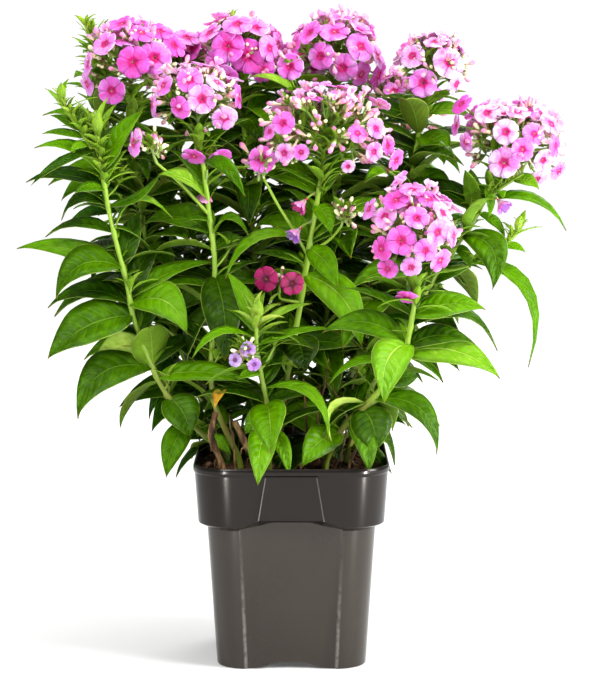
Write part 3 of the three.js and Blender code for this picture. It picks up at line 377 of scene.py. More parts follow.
        "node": "dry_stalk_middle", "radius": [4.0, 2.8], "rooted": True,
        "route": [[-32, -32, 184], [-43, -36, 206], [-52, -40, 226]],
    },
    {
        "node": "dry_stalk_back", "radius": [3.6, 2.4], "rooted": True,
        "route": [[2, 34, 184], [-3, 30, 236], [3, 28, 288]],
    },
]

# Growing tips: how many young leaves crowd a shoot's end, how long the lowest is, over what height,
# how far the tip has grown past the plain stem's end, and how light its darkest leaf is.
YOUNG_TIPS = {
    "stem_front_left": (56, 27, 60, (-9, 0, 5), 0.64),
    "stem_a_back": (60, 27, 56, (-8, -14, 18), 0.6),
    "stem_front": (14, 34, 30, (6, 0, 6), 0.78),
}

# Heads: the middle of each dome of florets and its three radii, how many more florets fill its
# sides and back, and how many buds stand among them. A floret is [x, y, z from the middle, diameter,
# degrees turned to the right, degrees turned up].
HEADS = [
    {
        "node": "head_a", "centre": [-150, 18, 554], "radii": [43, 38, 37], "fill": 3, "buds": 3,
        "florets": [
            [-15, -24, -26, 26, -8, -8], [6, -38, 0, 30, 0, 5], [25, -30, 4, 31, 5, 5],
            [-20, -29, 16, 26, -35, 35], [-37, -19, -2, 24, -70, 5], [-6, -13, 35, 26, -30, 60],
            [28, 0, 29, 26, 20, 55], [43, 0, 17, 26, 45, 30], [-40, 0, -20, 23, -60, -15],
        ],
    },
    {
        "node": "head_b", "centre": [-51, 58, 564], "radii": [41, 38, 33], "fill": 3, "buds": 3,
        "florets": [
            [-44, 0, 2, 27, -50, 30], [-8, -37, 5, 31, -5, 10], [1, -29, 22, 28, -5, 50],
            [18, -24, 22, 26, 15, 50], [10, -36, -4, 33, 5, 0], [29, -27, 3, 26, 50, 10],
            [39, -8, 7, 25, 70, 15], [-19, -32, -9, 25, -30, -10], [-9, -28, -22, 25, -15, -25],
            [-24, -25, 16, 25, -50, 45], [25, -23, -17, 25, 30, -20], [-33, 0, -24, 23, -45, -20],
        ],
    },
    {
        "node": "head_c", "centre": [-85, -60, 522], "radii": [39, 34, 30], "fill": 1, "buds": 6,
        "florets": [
            [-4, -29, 16, 24, 0, 20], [7, -33, -1, 26, 5, 0], [26, -16, -18, 24, 15, -30],
            [-28, -20, 11, 21, -50, 30], [-40, 0, -7, 22, -75, 0], [39, 0, 1, 22, 75, 5],
            [20, -24, 14, 21, 50, 45], [-14, -30, -9, 21, -30, -15], [-1, 0, -48, 22, -20, -50],
            [21, 0, -53, 22, 30, -45],
        ],
    },
    {
        "node": "head_d", "centre": [31, -50, 493], "radii": [58, 40, 39], "fill": 2, "buds": 10,
        "florets": [
            [-38, -30, 7, 21, -10, 12], [-50, -20, -1, 16, -50, 20], [-37, -23, -20, 18, -20, 0],
            [-22, -32, -19, 15, -10, 10], [20, -19, -32, 13, 10, -20], [28, -35, -2, 18, 20, 20],
            [43, -26, 1, 20, 35, 20], [56, 0, -14, 20, 55, 0], [64, 0, -27, 20, 50, -20],
            [67, 0, -45, 20, 60, -40], [43, -18, -19, 18, 30, -5],
        ],
    },
    {
        "node": "head_e", "centre": [42, 60, 566], "radii": [43, 38, 33], "fill": 3, "buds": 4,
        "florets": [
            [-2, -33, 16, 30, -5, 55], [5, -15, 30, 25, 0, 78], [-23, -28, 14, 25, -45, 35],
            [-37, -18, 5, 23, -70, 10], [23, -32, 3, 29, 30, 20], [24, -18, -23, 24, 40, -20],
            [6, -32, -17, 28, -10, -20], [41, 0, -24, 25, 60, -20], [-15, -35, -6, 26, -20, 0],
            [39, -13, -6, 25, 65, 15],
        ],
    },
    {
        "node": "head_f", "centre": [132, 18, 551], "radii": [32, 32, 28], "fill": 4, "buds": 4,
        "florets": [
            [-21, -22, 9, 24, -25, 25], [-11, -24, -16, 27, 0, -5], [13, -29, 3, 31, 20, 20],
            [0, -20, 22, 22, -5, 65], [21, -14, -17, 22, 50, -20],
        ],
    },
    {
        "node": "head_g", "centre": [204, 0, 481], "radii": [48, 36, 33], "fill": 2, "buds": 4,
        "florets": [
            [-10, -29, -18, 29, 0, -10], [-24, -12, 27, 25, -10, 45], [-47, 0, 35, 22, -50, 40],
            [-9, -34, 10, 24, -5, 10], [6, -35, -6, 22, 10, -5], [17, -33, 8, 22, 20, 15],
            [26, -25, -16, 20, 20, -15], [34, -18, 17, 24, 45, 35], [38, -22, -3, 22, 60, 0],
            [44, 0, -27, 20, 45, -30], [-44, -15, 0, 18, -55, -10], [-51, 0, 15, 20, -75, 10],
            [3, -20, 28, 22, 5, 60], [24, 0, -34, 19, 15, -45],
        ],
    },
    {
        "node": "head_h", "centre": [107, -117, 404], "radii": [42, 40, 41], "fill": 2, "buds": 3,
        "florets": [
            [-12, -38, -3, 26, -5, 0], [-3, -30, -27, 19, 0, -25], [-23, -15, -30, 19, -15, -25],
            [-29, -27, -11, 22, -45, -5], [19, -36, 4, 25, 35, -10], [-39, 0, 22, 21, -65, 25],
            [-26, -26, 17, 22, -35, 25], [-16, -23, 29, 23, -15, 50], [-2, -16, 37, 23, 0, 68],
            [13, -18, 34, 23, 25, 55], [24, -26, 20, 22, 50, 30], [34, -23, 0, 22, 65, 0],
            [22, -27, -21, 22, 40, -25], [1, -37, 16, 22, 5, 30], [8, -38, -11, 21, 15, -10],
            [-5, 0, -57, 21, -10, -55],
        ],
    },
    {
        "node": "head_j", "centre": [-112, 80, 548], "radii": [40, 38, 32], "fill": 5, "buds": 3,
    },
    {
        "node": "head_k", "centre": [-2, 98, 540], "radii": [38, 36, 32], "fill": 5, "buds": 3,
    },
    {
        "node": "head_l", "centre": [108, 86, 512], "radii": [38, 36, 32], "fill": 5, "buds": 3,
    },
    {
        "node": "head_c_side", "centre": [-125, -73, 478], "radii": [15, 14, 12], "fill": 0, "buds": 4,
        "florets": [[-15, -3, 4, 25, -60, 5]],
    },
    {
        "node": "head_d_side", "centre": [-27, -52, 461], "radii": [13, 12, 11], "fill": 0, "buds": 3,
        "florets": [[1, -8, 6, 25, 0, -5]],
    },
    {
        "node": "head_d_buds", "centre": [48, -58, 416], "radii": [12, 11, 12], "fill": 0, "buds": 4,
    },
    {
        "node": "head_low", "centre": [-11, -39, 353], "radii": [12, 11, 10], "fill": 0, "buds": 0,
        "florets": [[-12, -8, 5, 23, -15, 0], [12, -10, 1, 22, 15, -5]],
    },
    {
        "node": "head_single", "centre": [-1, 5, 548], "radii": [11, 10, 10], "fill": 0, "buds": 0,
        "florets": [[0, -6, 2, 25, -5, 0]],
    },
    {
        "node": "head_lilac", "centre": [-42, -90, 296], "radii": [9, 9, 8], "fill": 0, "buds": 0,
        "florets": [[-8, -6, -6, 13, -20, 0], [4, -8, 4, 14, 10, 10], [9, -6, -10, 13, 20, -15]],
    },
]

# Each head's look: how pale its petals are and by how much that varies, how many more florets crowd
# between the listed ones and their radius, how many have half opened, how many long buds stand out,
# and what share of the buds in its clusters are about to open.
HEAD_LOOKS = {
    "head_a": (0.43, 0.24, 4, 13, 8, 14, 0.35), "head_b": (0.43, 0.28, 5, 13, 8, 12, 0.35),
    "head_c": (0.58, 0.26, 4, 11, 9, 14, 0.4), "head_d": (0.6, 0.24, 3, 12, 22, 14, 0.6),
    "head_e": (0.46, 0.28, 3, 13, 9, 16, 0.35), "head_f": (0.74, 0.22, 2, 12, 7, 12, 0.35),
    "head_g": (0.62, 0.32, 7, 12, 10, 14, 0.4), "head_h": (0.53, 0.3, 5, 12, 9, 12, 0.35),
    "head_c_side": (0.55, 0.2, 0, 9, 1, 6, 0.1), "head_d_side": (0.6, 0.2, 1, 9, 2, 6, 0.5),
    "head_d_buds": (0.6, 0.2, 0, 9, 1, 4, 0.2), "head_low": (0.4, 0.3, 0, 10, 0, 2, 0.2),
    "head_single": (0.5, 0.1, 1, 10, 0, 2, 0.2), "head_lilac": (0.5, 0.3, 0, 7, 0, 2, 0.0),
}
BACK_HEAD = (0.5, 0.32, 7, 13, 9, 12, 0.35)
# A head whose first radius is larger than this is a full dome.
DOME_RADIUS = 20
# How many more florets crowd at the very back of each dome.
BACK_FLORETS = 6
# Heads whose petals are not pink.
OTHER_PETALS = {"head_lilac": "petal_lilac", "head_low": "petal_magenta"}
# A head's branches: how many, and how far out they end, in a dome, a small head and those that differ.
DOME_HUBS = (20, 0.46, 0.74)
SMALL_HUBS = (4, 0.4, 0.5)
OWN_HUBS = {"head_d": (36, 0.35, 0.85), "head_low": (1, 0.1, 0.1), "head_single": (2, 0.2, 0.4)}

# Single florets that hang withered on a stem: the stem, the place, and whether it is a lilac one.
STRAYS = [
    ("stem_d", (8, -47, 404), True), ("stem_d", (13, -50, 430), False),
    ("stem_c", (-66, -52, 466), False), ("stem_g", (191, -9, 428), True),
    ("stem_c", (-78, -50, 440), False),
]
# Old leaves that hang dry between the stems: root, heading, rise in degrees and length.
OLD_LEAVES = [
    ((-62, -46, 256), 4.5, -20, 34), ((30, 20, 210), 1.2, -30, 34), ((-20, 46, 214), 1.9, -40, 30),
]
# Dead twigs: where each stands in the soil, how it leans, and its length.
TWIGS = [
    ((8, -30), (0.08, -0.05), 96), ((22, -12), (0.05, 0.0), 116), ((38, -22), (0.22, -0.05), 92),
    ((50, -30), (0.3, 0.02), 84), ((-22, -14), (-0.12, 0.0), 100), ((-52, -30), (-0.1, -0.1), 62),
    ((60, -8), (0.4, 0.1), 90),
]

# ---------------------------------------------------------------- colours, 0 to 255 as on a screen
# A leaf's greens from its darkest tone to its lightest.
LEAF_GREENS = [
    (0.0, 32, 58, 0), (0.25, 62, 102, 0), (0.5, 92, 144, 0),
    (0.72, 116, 160, 34), (0.88, 152, 192, 64), (1.0, 190, 218, 100),
]
# Each kind of petal, from its deepest tone to its palest, and the eye round its throat.
PETALS = {
    "petal_pink": ((214, 50, 148), (226, 96, 204), (230, 134, 226), (242, 200, 240), (194, 0, 112)),
    "petal_back": ((230, 84, 150), (240, 132, 200), (246, 170, 222), (253, 220, 238), (240, 176, 180)),
    "petal_lilac": ((146, 78, 188), (166, 104, 206), (190, 140, 226), (214, 176, 240), (112, 50, 142)),
    "petal_magenta": ((148, 8, 74), (190, 16, 108), (196, 44, 134), (204, 92, 160), (92, 2, 44)),
}


# ================================================================ the plant's rules, as in the solids
def make_random(seed):
    """The same sequence of numbers from 0 to 1 each time for one seed."""
    state = seed

    def draw():
        nonlocal state
        state = (state * 1664525 + 1013904223) % 4294967296
        return state / 4294967296

    return draw


def unit(vector):
    return vector / np.linalg.norm(vector)


def direction(azimuth, rise):
    flat = math.cos(rise)
    return np.array((math.cos(azimuth) * flat, math.sin(azimuth) * flat, math.sin(rise)))


def point_at_height(line, z):
    """The point of a shoot's line at a height."""
    upper = max(1, next((i for i, point in enumerate(line) if point[2] >= z), -1))
    below, above = line[upper - 1], line[upper]
    return below + (above - below) * (z - below[2]) / (above[2] - below[2])


def middle_line(shoot, trunk):
    """A smooth line through a shoot's points. A side shoot starts on its trunk's line."""
    route = [np.array(point, float) for point in shoot["route"]]
    if trunk is not None:
        route[0] = point_at_height(trunk, route[0][2])
    before = 2 * route[0] - route[1]
    if shoot["rooted"]:
        before = np.array((route[0][0], route[0][1], STEM_FOOT))
    knots = [before, *route, 2 * route[-1] - route[-2]]
    line = [before] if shoot["rooted"] else []
    for a, b, c, d in zip(knots, knots[1:], knots[2:], knots[3:]):
        middle = (b + c) * 9 / 16 - (a + d) / 16
        line.append(b)
        if np.linalg.norm(middle - (b + c) / 2) > BEND:
            line.append(middle)
    line.append(route[-1])
    return line


def leaf_row(root, tip, width, arch, roll, tone, fold=FOLD):
    return {"root": root, "tip": tip, "width": width, "arch": arch, "roll": roll, "tone": tone,
            "fold": fold}


def pair_leaf(pairs, line, height, share, degrees, random):
    """The places that one leaf of a pair may take, in the order in which they are tried."""
    root = point_at_height(line, height + 5 * random())
    azimuth = degrees + 30 * (random() - 0.5)
    sideways = abs(math.cos(math.radians(azimuth)))
    length = pairs["length"] * (0.78 + 0.5 * share - 0.8 * share * share + 0.2 * random())
    rise = math.radians(-34 + 46 * share + 16 * sideways + 24 * (random() - 0.5))
    width = length * (0.29 + 0.07 * random())
    roll = 8 + sideways * (10 + 36 * random())
    arch = length * (0.1 + 0.1 * random())
    headings = [math.radians(azimuth + turn) for turn in TURNS]
    return [
        leaf_row(root, direction(heading, rise) * length * size + root, width * size, arch * size, roll,
                 0.2 + 0.35 * share)
        for size in SIZES
        for heading in headings
        if pairs["side"] == "all" or math.sin(heading) > -0.2
    ]


def leaf_choices(shoot, line, random):
    """Every leaf of a shoot with the places that it may take."""
    choices = []
    for height, x, y, z, width, arch, roll, tone in shoot.get("leaves", ()):
        root = point_at_height(line, height)
        tip = np.array((x, y, z), float)
        choices.append([
            leaf_row(root, tip + shift, width, arch, roll, TONES[tone]) for shift in LEAF_SHIFTS
        ])
    tuft = shoot.get("tuft", {"count": 0})
    for i in range(tuft["count"]):
        rise = math.radians(20 + 55 * i / tuft["count"])
        reach = direction(i * GOLDEN_ANGLE, rise) * tuft["length"] * (1.1 - 0.4 * i / tuft["count"])
        root = point_at_height(line, line[-1][2] - 2 - 2.2 * (tuft["count"] - 1 - i))
        choices.append([
            leaf_row(root, reach * size + root, tuft["width"] * size * 0.7, 2, 0, 0.9)
            for size in (1, 0.8)
        ])
    pairs = shoot.get("pairs", {"from": 1, "to": 0, "azimuth": 0})
    turn = pairs["azimuth"]
    height = pairs["from"]
    while height <= pairs["to"]:
        share = (height - pairs["from"]) / (pairs["to"] - pairs["from"])
        for opposite in (0, 180):
            choices.append(pair_leaf(pairs, line, height, share, turn + opposite, random))
        turn += 90
        height += pairs["spacing"]
    return [leaves for leaves in choices if leaves]


def floret_choices(head, random):
    """Every floret of a head with the depths that it may take."""
    centre = np.array(head["centre"], float)
    florets = []
    for x, y, z, diameter, right, up in head.get("florets", ()):
        facing = direction(math.radians(right - 90), math.radians(up))
        florets.append({"place": centre + (x, y, z), "facing": facing, "radius": diameter / 2,
                        "spin": random() * 2 * math.pi})
    tries = 60
    added = 0
    for i in range(tries):
        if added >= head["fill"]:
            break
        outward = direction(i * GOLDEN_ANGLE, math.asin(0.98 - 1.5 * i / tries))
        place = outward * head["radii"] + centre
        spin = random() * 2 * math.pi
        if all(np.linalg.norm(other["place"] - place) > 22 for other in florets):
            facing = unit(outward + (0, 0, 0.25))
            florets.append({"place": place, "facing": facing, "radius": 13, "spin": spin})
            added += 1
    return [
        [{**floret, "place": floret["place"] + floret["facing"] * shift} for shift in FLORET_SHIFTS]
        for floret in florets
    ]


def bud_choices(head, random):
    """Every bud of a head with the places that it may take."""
    centre = np.array(head["centre"], float)
    choices = []
    for i in range(head["buds"]):
        outward = direction(i * GOLDEN_ANGLE + 1.2, math.asin(0.95 - 1.1 * (i + 0.5) / head["buds"]))
        facing = unit(outward + (0, 0, 0.5))
        reach = 0.86 + 0.22 * random()
        choices.append([
            {"tip": outward * head["radii"] * share + centre, "facing": facing}
            for share in (reach, reach - 0.12, reach + 0.12)
        ])
    return choices


def corners_of(node):
    """A tree of a solid's corners in mm, to find which place a leaf or floret took there."""
    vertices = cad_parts[node].data.vertices
    tree = kdtree.KDTree(len(vertices))
    for i, vertex in enumerate(vertices):
        tree.insert(vertex.co / MM, i)
    tree.balance()
    return tree


def taken(corners, choices, key):
    """The choice whose key point is a corner of the solid, or None."""
    return next((choice for choice in choices if corners.find(key(choice))[2] < KEY_TOLERANCE), None)


# ================================================================ modelling helpers
def deselect_all():
    for piece in list(bpy.context.selected_objects):
        piece.select_set(False)


def select_only(pieces):
    deselect_all()
    for piece in pieces:
        piece.select_set(True)
    bpy.context.view_layer.objects.active = pieces[0]


def start_piece(name, finishes):
    """Gives the primitive just added its name and finishes, and opens it in edit mode."""
    piece = bpy.context.object
    piece.name = name
    select_only([piece])
    bpy.ops.object.transform_apply(location=True, rotation=True, scale=True)
    for finish in finishes:
        piece.data.materials.append(finish)
    bpy.ops.object.mode_set(mode="EDIT")
    bpy.ops.mesh.select_mode(type="VERT")
    return piece


def leave_edit():
    bpy.ops.object.mode_set(mode="OBJECT")


def pick(piece, test):
    """In edit mode, selects the vertices that pass a test of their place."""
    bpy.ops.mesh.select_all(action="DESELECT")
    mesh = bmesh.from_edit_mesh(piece.data)
    for vertex in mesh.verts:
        vertex.select = test(vertex.co)
    mesh.select_flush(True)
    bmesh.update_edit_mesh(piece.data)


def pick_faces(piece, test):
    """In edit mode, selects the faces that pass a test of their normal."""
    bpy.ops.mesh.select_mode(type="FACE")
    bpy.ops.mesh.select_all(action="DESELECT")
    mesh = bmesh.from_edit_mesh(piece.data)
    for face in mesh.faces:
        face.select = test(face.normal)
    bmesh.update_edit_mesh(piece.data)


def move(x, y, z):
    bpy.ops.transform.translate(value=(x, y, z))


def resize(x, y, z, centre=(0, 0, 0)):
    bpy.ops.transform.resize(value=(x, y, z), center_override=centre)


def rotate(angle, axis, centre=(0, 0, 0)):
    bpy.ops.transform.rotate(value=angle, orient_axis=axis, center_override=centre)


def apply_modifier(piece, kind, **settings):
    select_only([piece])
    modifier = piece.modifiers.new(kind.lower(), kind)
    for name, value in settings.items():
        setattr(modifier, name, value)
    bpy.ops.object.modifier_apply(modifier=modifier.name)


def thicken(piece, thickness):
    """Gives a sheet its thickness. Its far face takes the second finish, and its rim the first."""
    apply_modifier(piece, "SOLIDIFY", thickness=thickness, offset=0.0, material_offset=1,
                   material_offset_rim=0)


def join(pieces, name):
    """Joins pieces into one, with a name."""
    select_only(pieces)
    if len(pieces) > 1:
        bpy.ops.object.join()
    piece = pieces[0]
    piece.name = name
    piece.data.name = name
    return piece


def shade(piece, degrees=None):
    select_only([piece])
    if degrees is None:
        bpy.ops.object.shade_smooth()
    else:
        bpy.ops.object.shade_smooth_by_angle(angle=math.radians(degrees))


def points_of(piece):
    """A mesh's vertices as rows of x, y, z."""
    places = np.empty(3 * len(piece.data.vertices))
    piece.data.vertices.foreach_get("co", places)
    return places.reshape(-1, 3)


def shaped_copy(pattern, places, **values):
    """A copy of a pattern with a mesh of its own, its vertices at new places in mm, and one number
    per named attribute."""
    mesh = pattern.data.copy()
    mesh.vertices.foreach_set("co", (places * MM).ravel())
    for name, value in values.items():
        attribute = mesh.attributes.new(name, "FLOAT", "POINT")
        attribute.data.foreach_set("value", np.full(len(mesh.vertices), value))
    piece = bpy.data.objects.new(pattern.name, mesh)
    bpy.context.collection.objects.link(piece)
    return piece


def framed(facing, spin=0.0):
    """Right, up and forward for something that faces a direction, turned about it by a spin."""
    reference = np.array((0.0, 0.0, 1.0)) if abs(facing[2]) < 0.9 else np.array((0.0, 1.0, 0.0))
    right = unit(np.cross(facing, reference))
    up = np.cross(right, facing)
    turned = right * math.cos(spin) + up * math.sin(spin)
    return np.array((turned, np.cross(facing, turned), facing))


def strands_piece(name, strands, materials, sides=8):
    """Round strands as one mesh. A strand is its points in mm, their radii in mm and the number of
    its material."""
    curve = bpy.data.curves.new(name, "CURVE")
    curve.dimensions = "3D"
    curve.bevel_depth = 1.0
    curve.bevel_resolution = sides // 2 - 2
    curve.use_fill_caps = True
    for points, radii, material in strands:
        spline = curve.splines.new("POLY")
        spline.points.add(len(points) - 1)
        spline.material_index = material
        for knot, point, radius in zip(spline.points, points, radii):
            knot.co = (*(np.array(point) * MM), 1)
            knot.radius = radius * MM
    piece = bpy.data.objects.new(name, curve)
    bpy.context.collection.objects.link(piece)
    for material in materials:
        curve.materials.append(material)
    select_only([piece])
    bpy.ops.object.convert(target="MESH")
    piece = bpy.context.object
    shade(piece)
    return piece


def smooth_points(points, steps):
    """More points on the smooth line through the given ones."""
    knots = [2 * points[0] - points[1], *points, 2 * points[-1] - points[-2]]
    line = []
    for a, b, c, d in zip(knots, knots[1:], knots[2:], knots[3:]):
        for i in range(steps):
            t = i / steps
            line.append(0.5 * (2 * b + (c - a) * t + (2 * a - 5 * b + 4 * c - d) * t * t
                               + (3 * b - a - 3 * c + d) * t ** 3))
    line.append(points[-1])
    return line


def hand_over(piece, node, slot):
    """Puts a piece under the root body and hides the solid that it stands for. The slot is not used."""
    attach(piece, "root")
    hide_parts(node)


def hand_over_extra(piece):
    """Puts a piece that stands for no solid under the root body."""
    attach(piece, "root")


# ================================================================ materials
class Field:
    """A number or colour that varies over a surface. Sums and products of fields are fields."""

    def __init__(self, finish, socket):
        self.finish = finish
        self.socket = socket

    def __add__(self, other):
        return self.finish.maths("ADD", self, other)

    def __sub__(self, other):
        return self.finish.maths("SUBTRACT", self, other)

    def __rsub__(self, other):
        return self.finish.maths("SUBTRACT", other, self)

    def __mul__(self, other):
        return self.finish.maths("MULTIPLY", self, other)

    def __truediv__(self, other):
        return self.finish.maths("DIVIDE", self, other)

    def __pow__(self, other):
        return self.finish.maths("POWER", self, other)

    def __abs__(self):
        return self.finish.maths("ABSOLUTE", self)

    def clamped(self):
        """The same field, held between 0 and 1."""
        self.socket.node.use_clamp = True
        return self


class Finish:
    """A material with short calls for the nodes that its pattern needs."""

    def __init__(self, name, **settings):
        self.material = bpy.data.materials.new(name)
        self.material.use_nodes = True
        self.tree = self.material.node_tree
        self.shader = self.tree.nodes["Principled BSDF"]
        for socket, value in settings.items():
            self.shader.inputs[socket.replace("_", " ")].default_value = value

    def feed(self, socket, value):
        if isinstance(value, Field):
            self.tree.links.new(value.socket, socket)
        else:
            socket.default_value = value

    def add(self, kind, inputs=(), output=0, **settings):
        """A node's output as a field."""
        made = self.tree.nodes.new(kind)
        for name, value in settings.items():
            setattr(made, name, value)
        for socket, value in inputs:
            self.feed(made.inputs[socket], value)
        return Field(self, made.outputs[output])

    def maths(self, operation, a, b=0.0):
        return self.add("ShaderNodeMath", [(0, a), (1, b)], operation=operation)

    def band(self, value, low, high):
        """0 below low, 1 above high and smooth between them. Low may be the larger of the two."""
        return self.add("ShaderNodeMapRange", [(0, value), (1, low), (2, high), (3, 0.0), (4, 1.0)],
                        interpolation_type="SMOOTHSTEP")

    def mix(self, share, a, b):
        """A colour between two, each a field or a screen colour."""
        a, b = (value if isinstance(value, Field) else srgb(*value) for value in (a, b))
        return self.add("ShaderNodeMix", [(0, share), (6, a), (7, b)], output=2, data_type="RGBA")

    def ramp(self, value, stops):
        """A colour that follows a value through rows of place, red, green and blue."""
        made = self.add("ShaderNodeValToRGB", [(0, value)])
        elements = made.socket.node.color_ramp.elements
        while len(elements) < len(stops):
            elements.new(0.5)
        for element, (place, *colour) in zip(elements, stops):
            element.position = place
            element.color = srgb(*colour)
        return made

    def noise(self, scale, detail=3.0, stretch=(1, 1, 1), over=None):
        """Cloudy noise from 0 to 1 in the object's space, or over another map."""
        over = over or self.add("ShaderNodeTexCoord", output="Object")
        mapped = self.add("ShaderNodeMapping", [(0, over), (3, stretch)])
        return self.add("ShaderNodeTexNoise", [(0, mapped), ("Scale", scale), ("Detail", detail)])

    def attribute(self, name):
        return self.add("ShaderNodeAttribute", output="Fac", attribute_name=name)

    def own_map(self):
        return self.add("ShaderNodeUVMap", uv_map="UVMap")

    def split(self, vector):
        """The three coordinates of a vector."""
        node = self.add("ShaderNodeSeparateXYZ", [(0, vector)]).socket.node
        return [Field(self, socket) for socket in node.outputs]

    def place(self):
        """The x, y and z of the object's space."""
        return self.split(self.add("ShaderNodeTexCoord", output="Object"))

    def colour(self, value):
        self.feed(self.shader.inputs["Base Color"], value)

    def roughness(self, value):
        self.feed(self.shader.inputs["Roughness"], value)

    def bump(self, height, strength, distance):
        inputs = [("Strength", strength), ("Distance", distance), ("Height", height)]
        self.feed(self.shader.inputs["Normal"], self.add("ShaderNodeBump", inputs))


def srgb(red, green, blue):
    """A colour given as it looks on a screen, from 0 to 255, as linear values."""
    def linear(value):
        share = value / 255
        return share / 12.92 if share <= 0.04045 else ((share + 0.055) / 1.055) ** 2.4

    return (linear(red), linear(green), linear(blue), 1.0)


def leaf_colours(finish, vein_light, tone_shift):
    """The colour and relief that both faces of a leaf share: midrib, looping side veins, blotches."""
    along, across, _ = finish.split(finish.own_map())
    side = abs(across - 0.5) * 2.0
    blotch = finish.noise(34.0, 4.0)
    fleck = finish.noise(150.0, 2.0)
    net = finish.noise(260.0)
    shift = finish.maths("GREATER_THAN", across, 0.5) * 0.045 + blotch * 0.05
    phase = (along + shift - side ** 1.4 * 0.2) * 8.0
    off_vein = abs(finish.maths("FRACT", phase) - 0.5)
    inside = finish.band(side, 0.9, 0.6)
    veins = finish.band(off_vein, 0.07, 0.01) * inside
    midrib = finish.band(side / (0.07 - along * 0.045), 1.0, 0.4)
    tone = finish.attribute("tone") / 1.3 + tone_shift
    tone = tone + (blotch - 0.5) * 0.5 + (fleck - 0.5) * 0.3 + veins * vein_light
    tone = (tone - finish.band(side, 0.25, 0.0) * 0.05).clamped()
    rib_green = finish.ramp((tone + 0.42).clamped(), LEAF_GREENS)
    colour = finish.mix(midrib * 0.75, finish.ramp(tone, LEAF_GREENS), rib_green)
    colour = finish.mix(finish.band(side, 0.7, 0.95) * 0.3, colour, (34, 66, 6))
    # Painted highlight: a pale line along the blade's very edge.
    colour = finish.mix(finish.band(side, 0.95, 1.0) * 0.5, colour, (166, 186, 84))
    colour = finish.mix(finish.band(along, 0.94, 1.0) * 0.7, colour, (120, 96, 34))
    pillow = finish.band(off_vein, 0.0, 0.4) * inside
    relief = pillow * 0.5 + blotch * 1.2 + net * 0.5 - midrib * 0.8
    return colour, relief, blotch


def leaf_top_finish():
    finish = Finish("leaf_upper_face", Subsurface_Weight=0.3, Subsurface_Scale=0.002,
                    Subsurface_Radius=(0.6, 1.0, 0.02), Specular_IOR_Level=0.07)
    colour, relief, blotch = leaf_colours(finish, 0.1, -0.04)
    finish.colour(colour)
    finish.roughness(blotch * 0.2 + 0.26)
    finish.bump(relief, 0.75, 0.0014)
    return finish.material


def leaf_under_finish():
    finish = Finish("leaf_underside", Subsurface_Weight=0.3, Subsurface_Scale=0.002,
                    Subsurface_Radius=(0.5, 1.0, 0.02), Specular_IOR_Level=0.04, Roughness=0.55)
    colour, relief, _ = leaf_colours(finish, 0.16, 0.08)
    finish.colour(finish.mix(0.2, colour, (176, 198, 84)))
    finish.bump(relief * -1.0, 0.4, 0.001)
    return finish.material


def stem_finish():
    finish = Finish("stem_skin", Subsurface_Weight=0.1, Subsurface_Scale=0.002,
                    Subsurface_Radius=(0.6, 1.0, 0.2), Roughness=0.45, Specular_IOR_Level=0.2)
    streak = finish.noise(260.0, 3.0, (1, 1, 0.08))
    patch = finish.noise(26.0, 2.0)
    _, _, height = finish.place()
    low = finish.band(height, 0.33, 0.19)
    green = finish.mix(streak, (112, 158, 34), (166, 196, 66))
    woody = finish.mix(finish.band(patch, 0.4, 0.65), (120, 134, 44), (124, 92, 50))
    finish.colour(finish.mix(low * 0.75, green, woody))
    finish.bump(streak, 0.3, 0.0006)
    return finish.material


def stalk_finish():
    finish = Finish("flower_stalk", Subsurface_Weight=0.1, Subsurface_Scale=0.001, Roughness=0.5)
    patch = finish.noise(120.0, 2.0)
    finish.colour(finish.ramp(patch, [(0.35, 92, 140, 34), (0.55, 136, 168, 60), (0.7, 128, 96, 60)]))
    return finish.material


def calyx_finish():
    finish = Finish("calyx", Subsurface_Weight=0.08, Subsurface_Scale=0.001, Roughness=0.5)
    patch = finish.noise(70.0, 2.0)
    _, height, _ = finish.split(finish.own_map())
    tips = finish.band(height, 0.55, 0.95) * finish.band(patch, 0.42, 0.56)
    finish.colour(finish.mix(tips, finish.mix(patch, (84, 128, 30), (146, 176, 66)), (112, 62, 48)))
    finish.bump(finish.noise(700.0), 0.2, 0.0004)
    return finish.material


def corolla_tube_finish():
    finish = Finish("corolla_tube", Subsurface_Weight=0.25, Subsurface_Scale=0.002,
                    Subsurface_Radius=(1.0, 0.35, 0.4), Roughness=0.5)
    patch = finish.noise(90.0, 2.0)
    finish.colour(finish.ramp(patch, [(0.3, 244, 206, 190), (0.5, 236, 150, 158), (0.7, 214, 104, 140)]))
    return finish.material


def bud_finish():
    """Green and cream on a young bud, cream and pink on a ripe one, with turned seams."""
    finish = Finish("bud", Subsurface_Weight=0.25, Subsurface_Scale=0.002,
                    Subsurface_Radius=(1.0, 0.6, 0.5), Roughness=0.45)
    around, height, _ = finish.split(finish.own_map())
    seam = finish.band(abs(finish.maths("FRACT", around * 5.0 + height * 1.6) - 0.5), 0.14, 0.0)
    young = finish.mix(finish.band(height, 0.1, 0.55), (170, 196, 88), (240, 238, 190))
    ripe = finish.mix(finish.band(height, 0.45, 0.85), (246, 214, 188), (238, 132, 196))
    colour = finish.mix(finish.attribute("tone"), young, ripe)
    finish.colour(finish.mix(seam * 0.5, colour, (226, 150, 170)))
    finish.bump(seam, -0.35, 0.0006)
    return finish.material


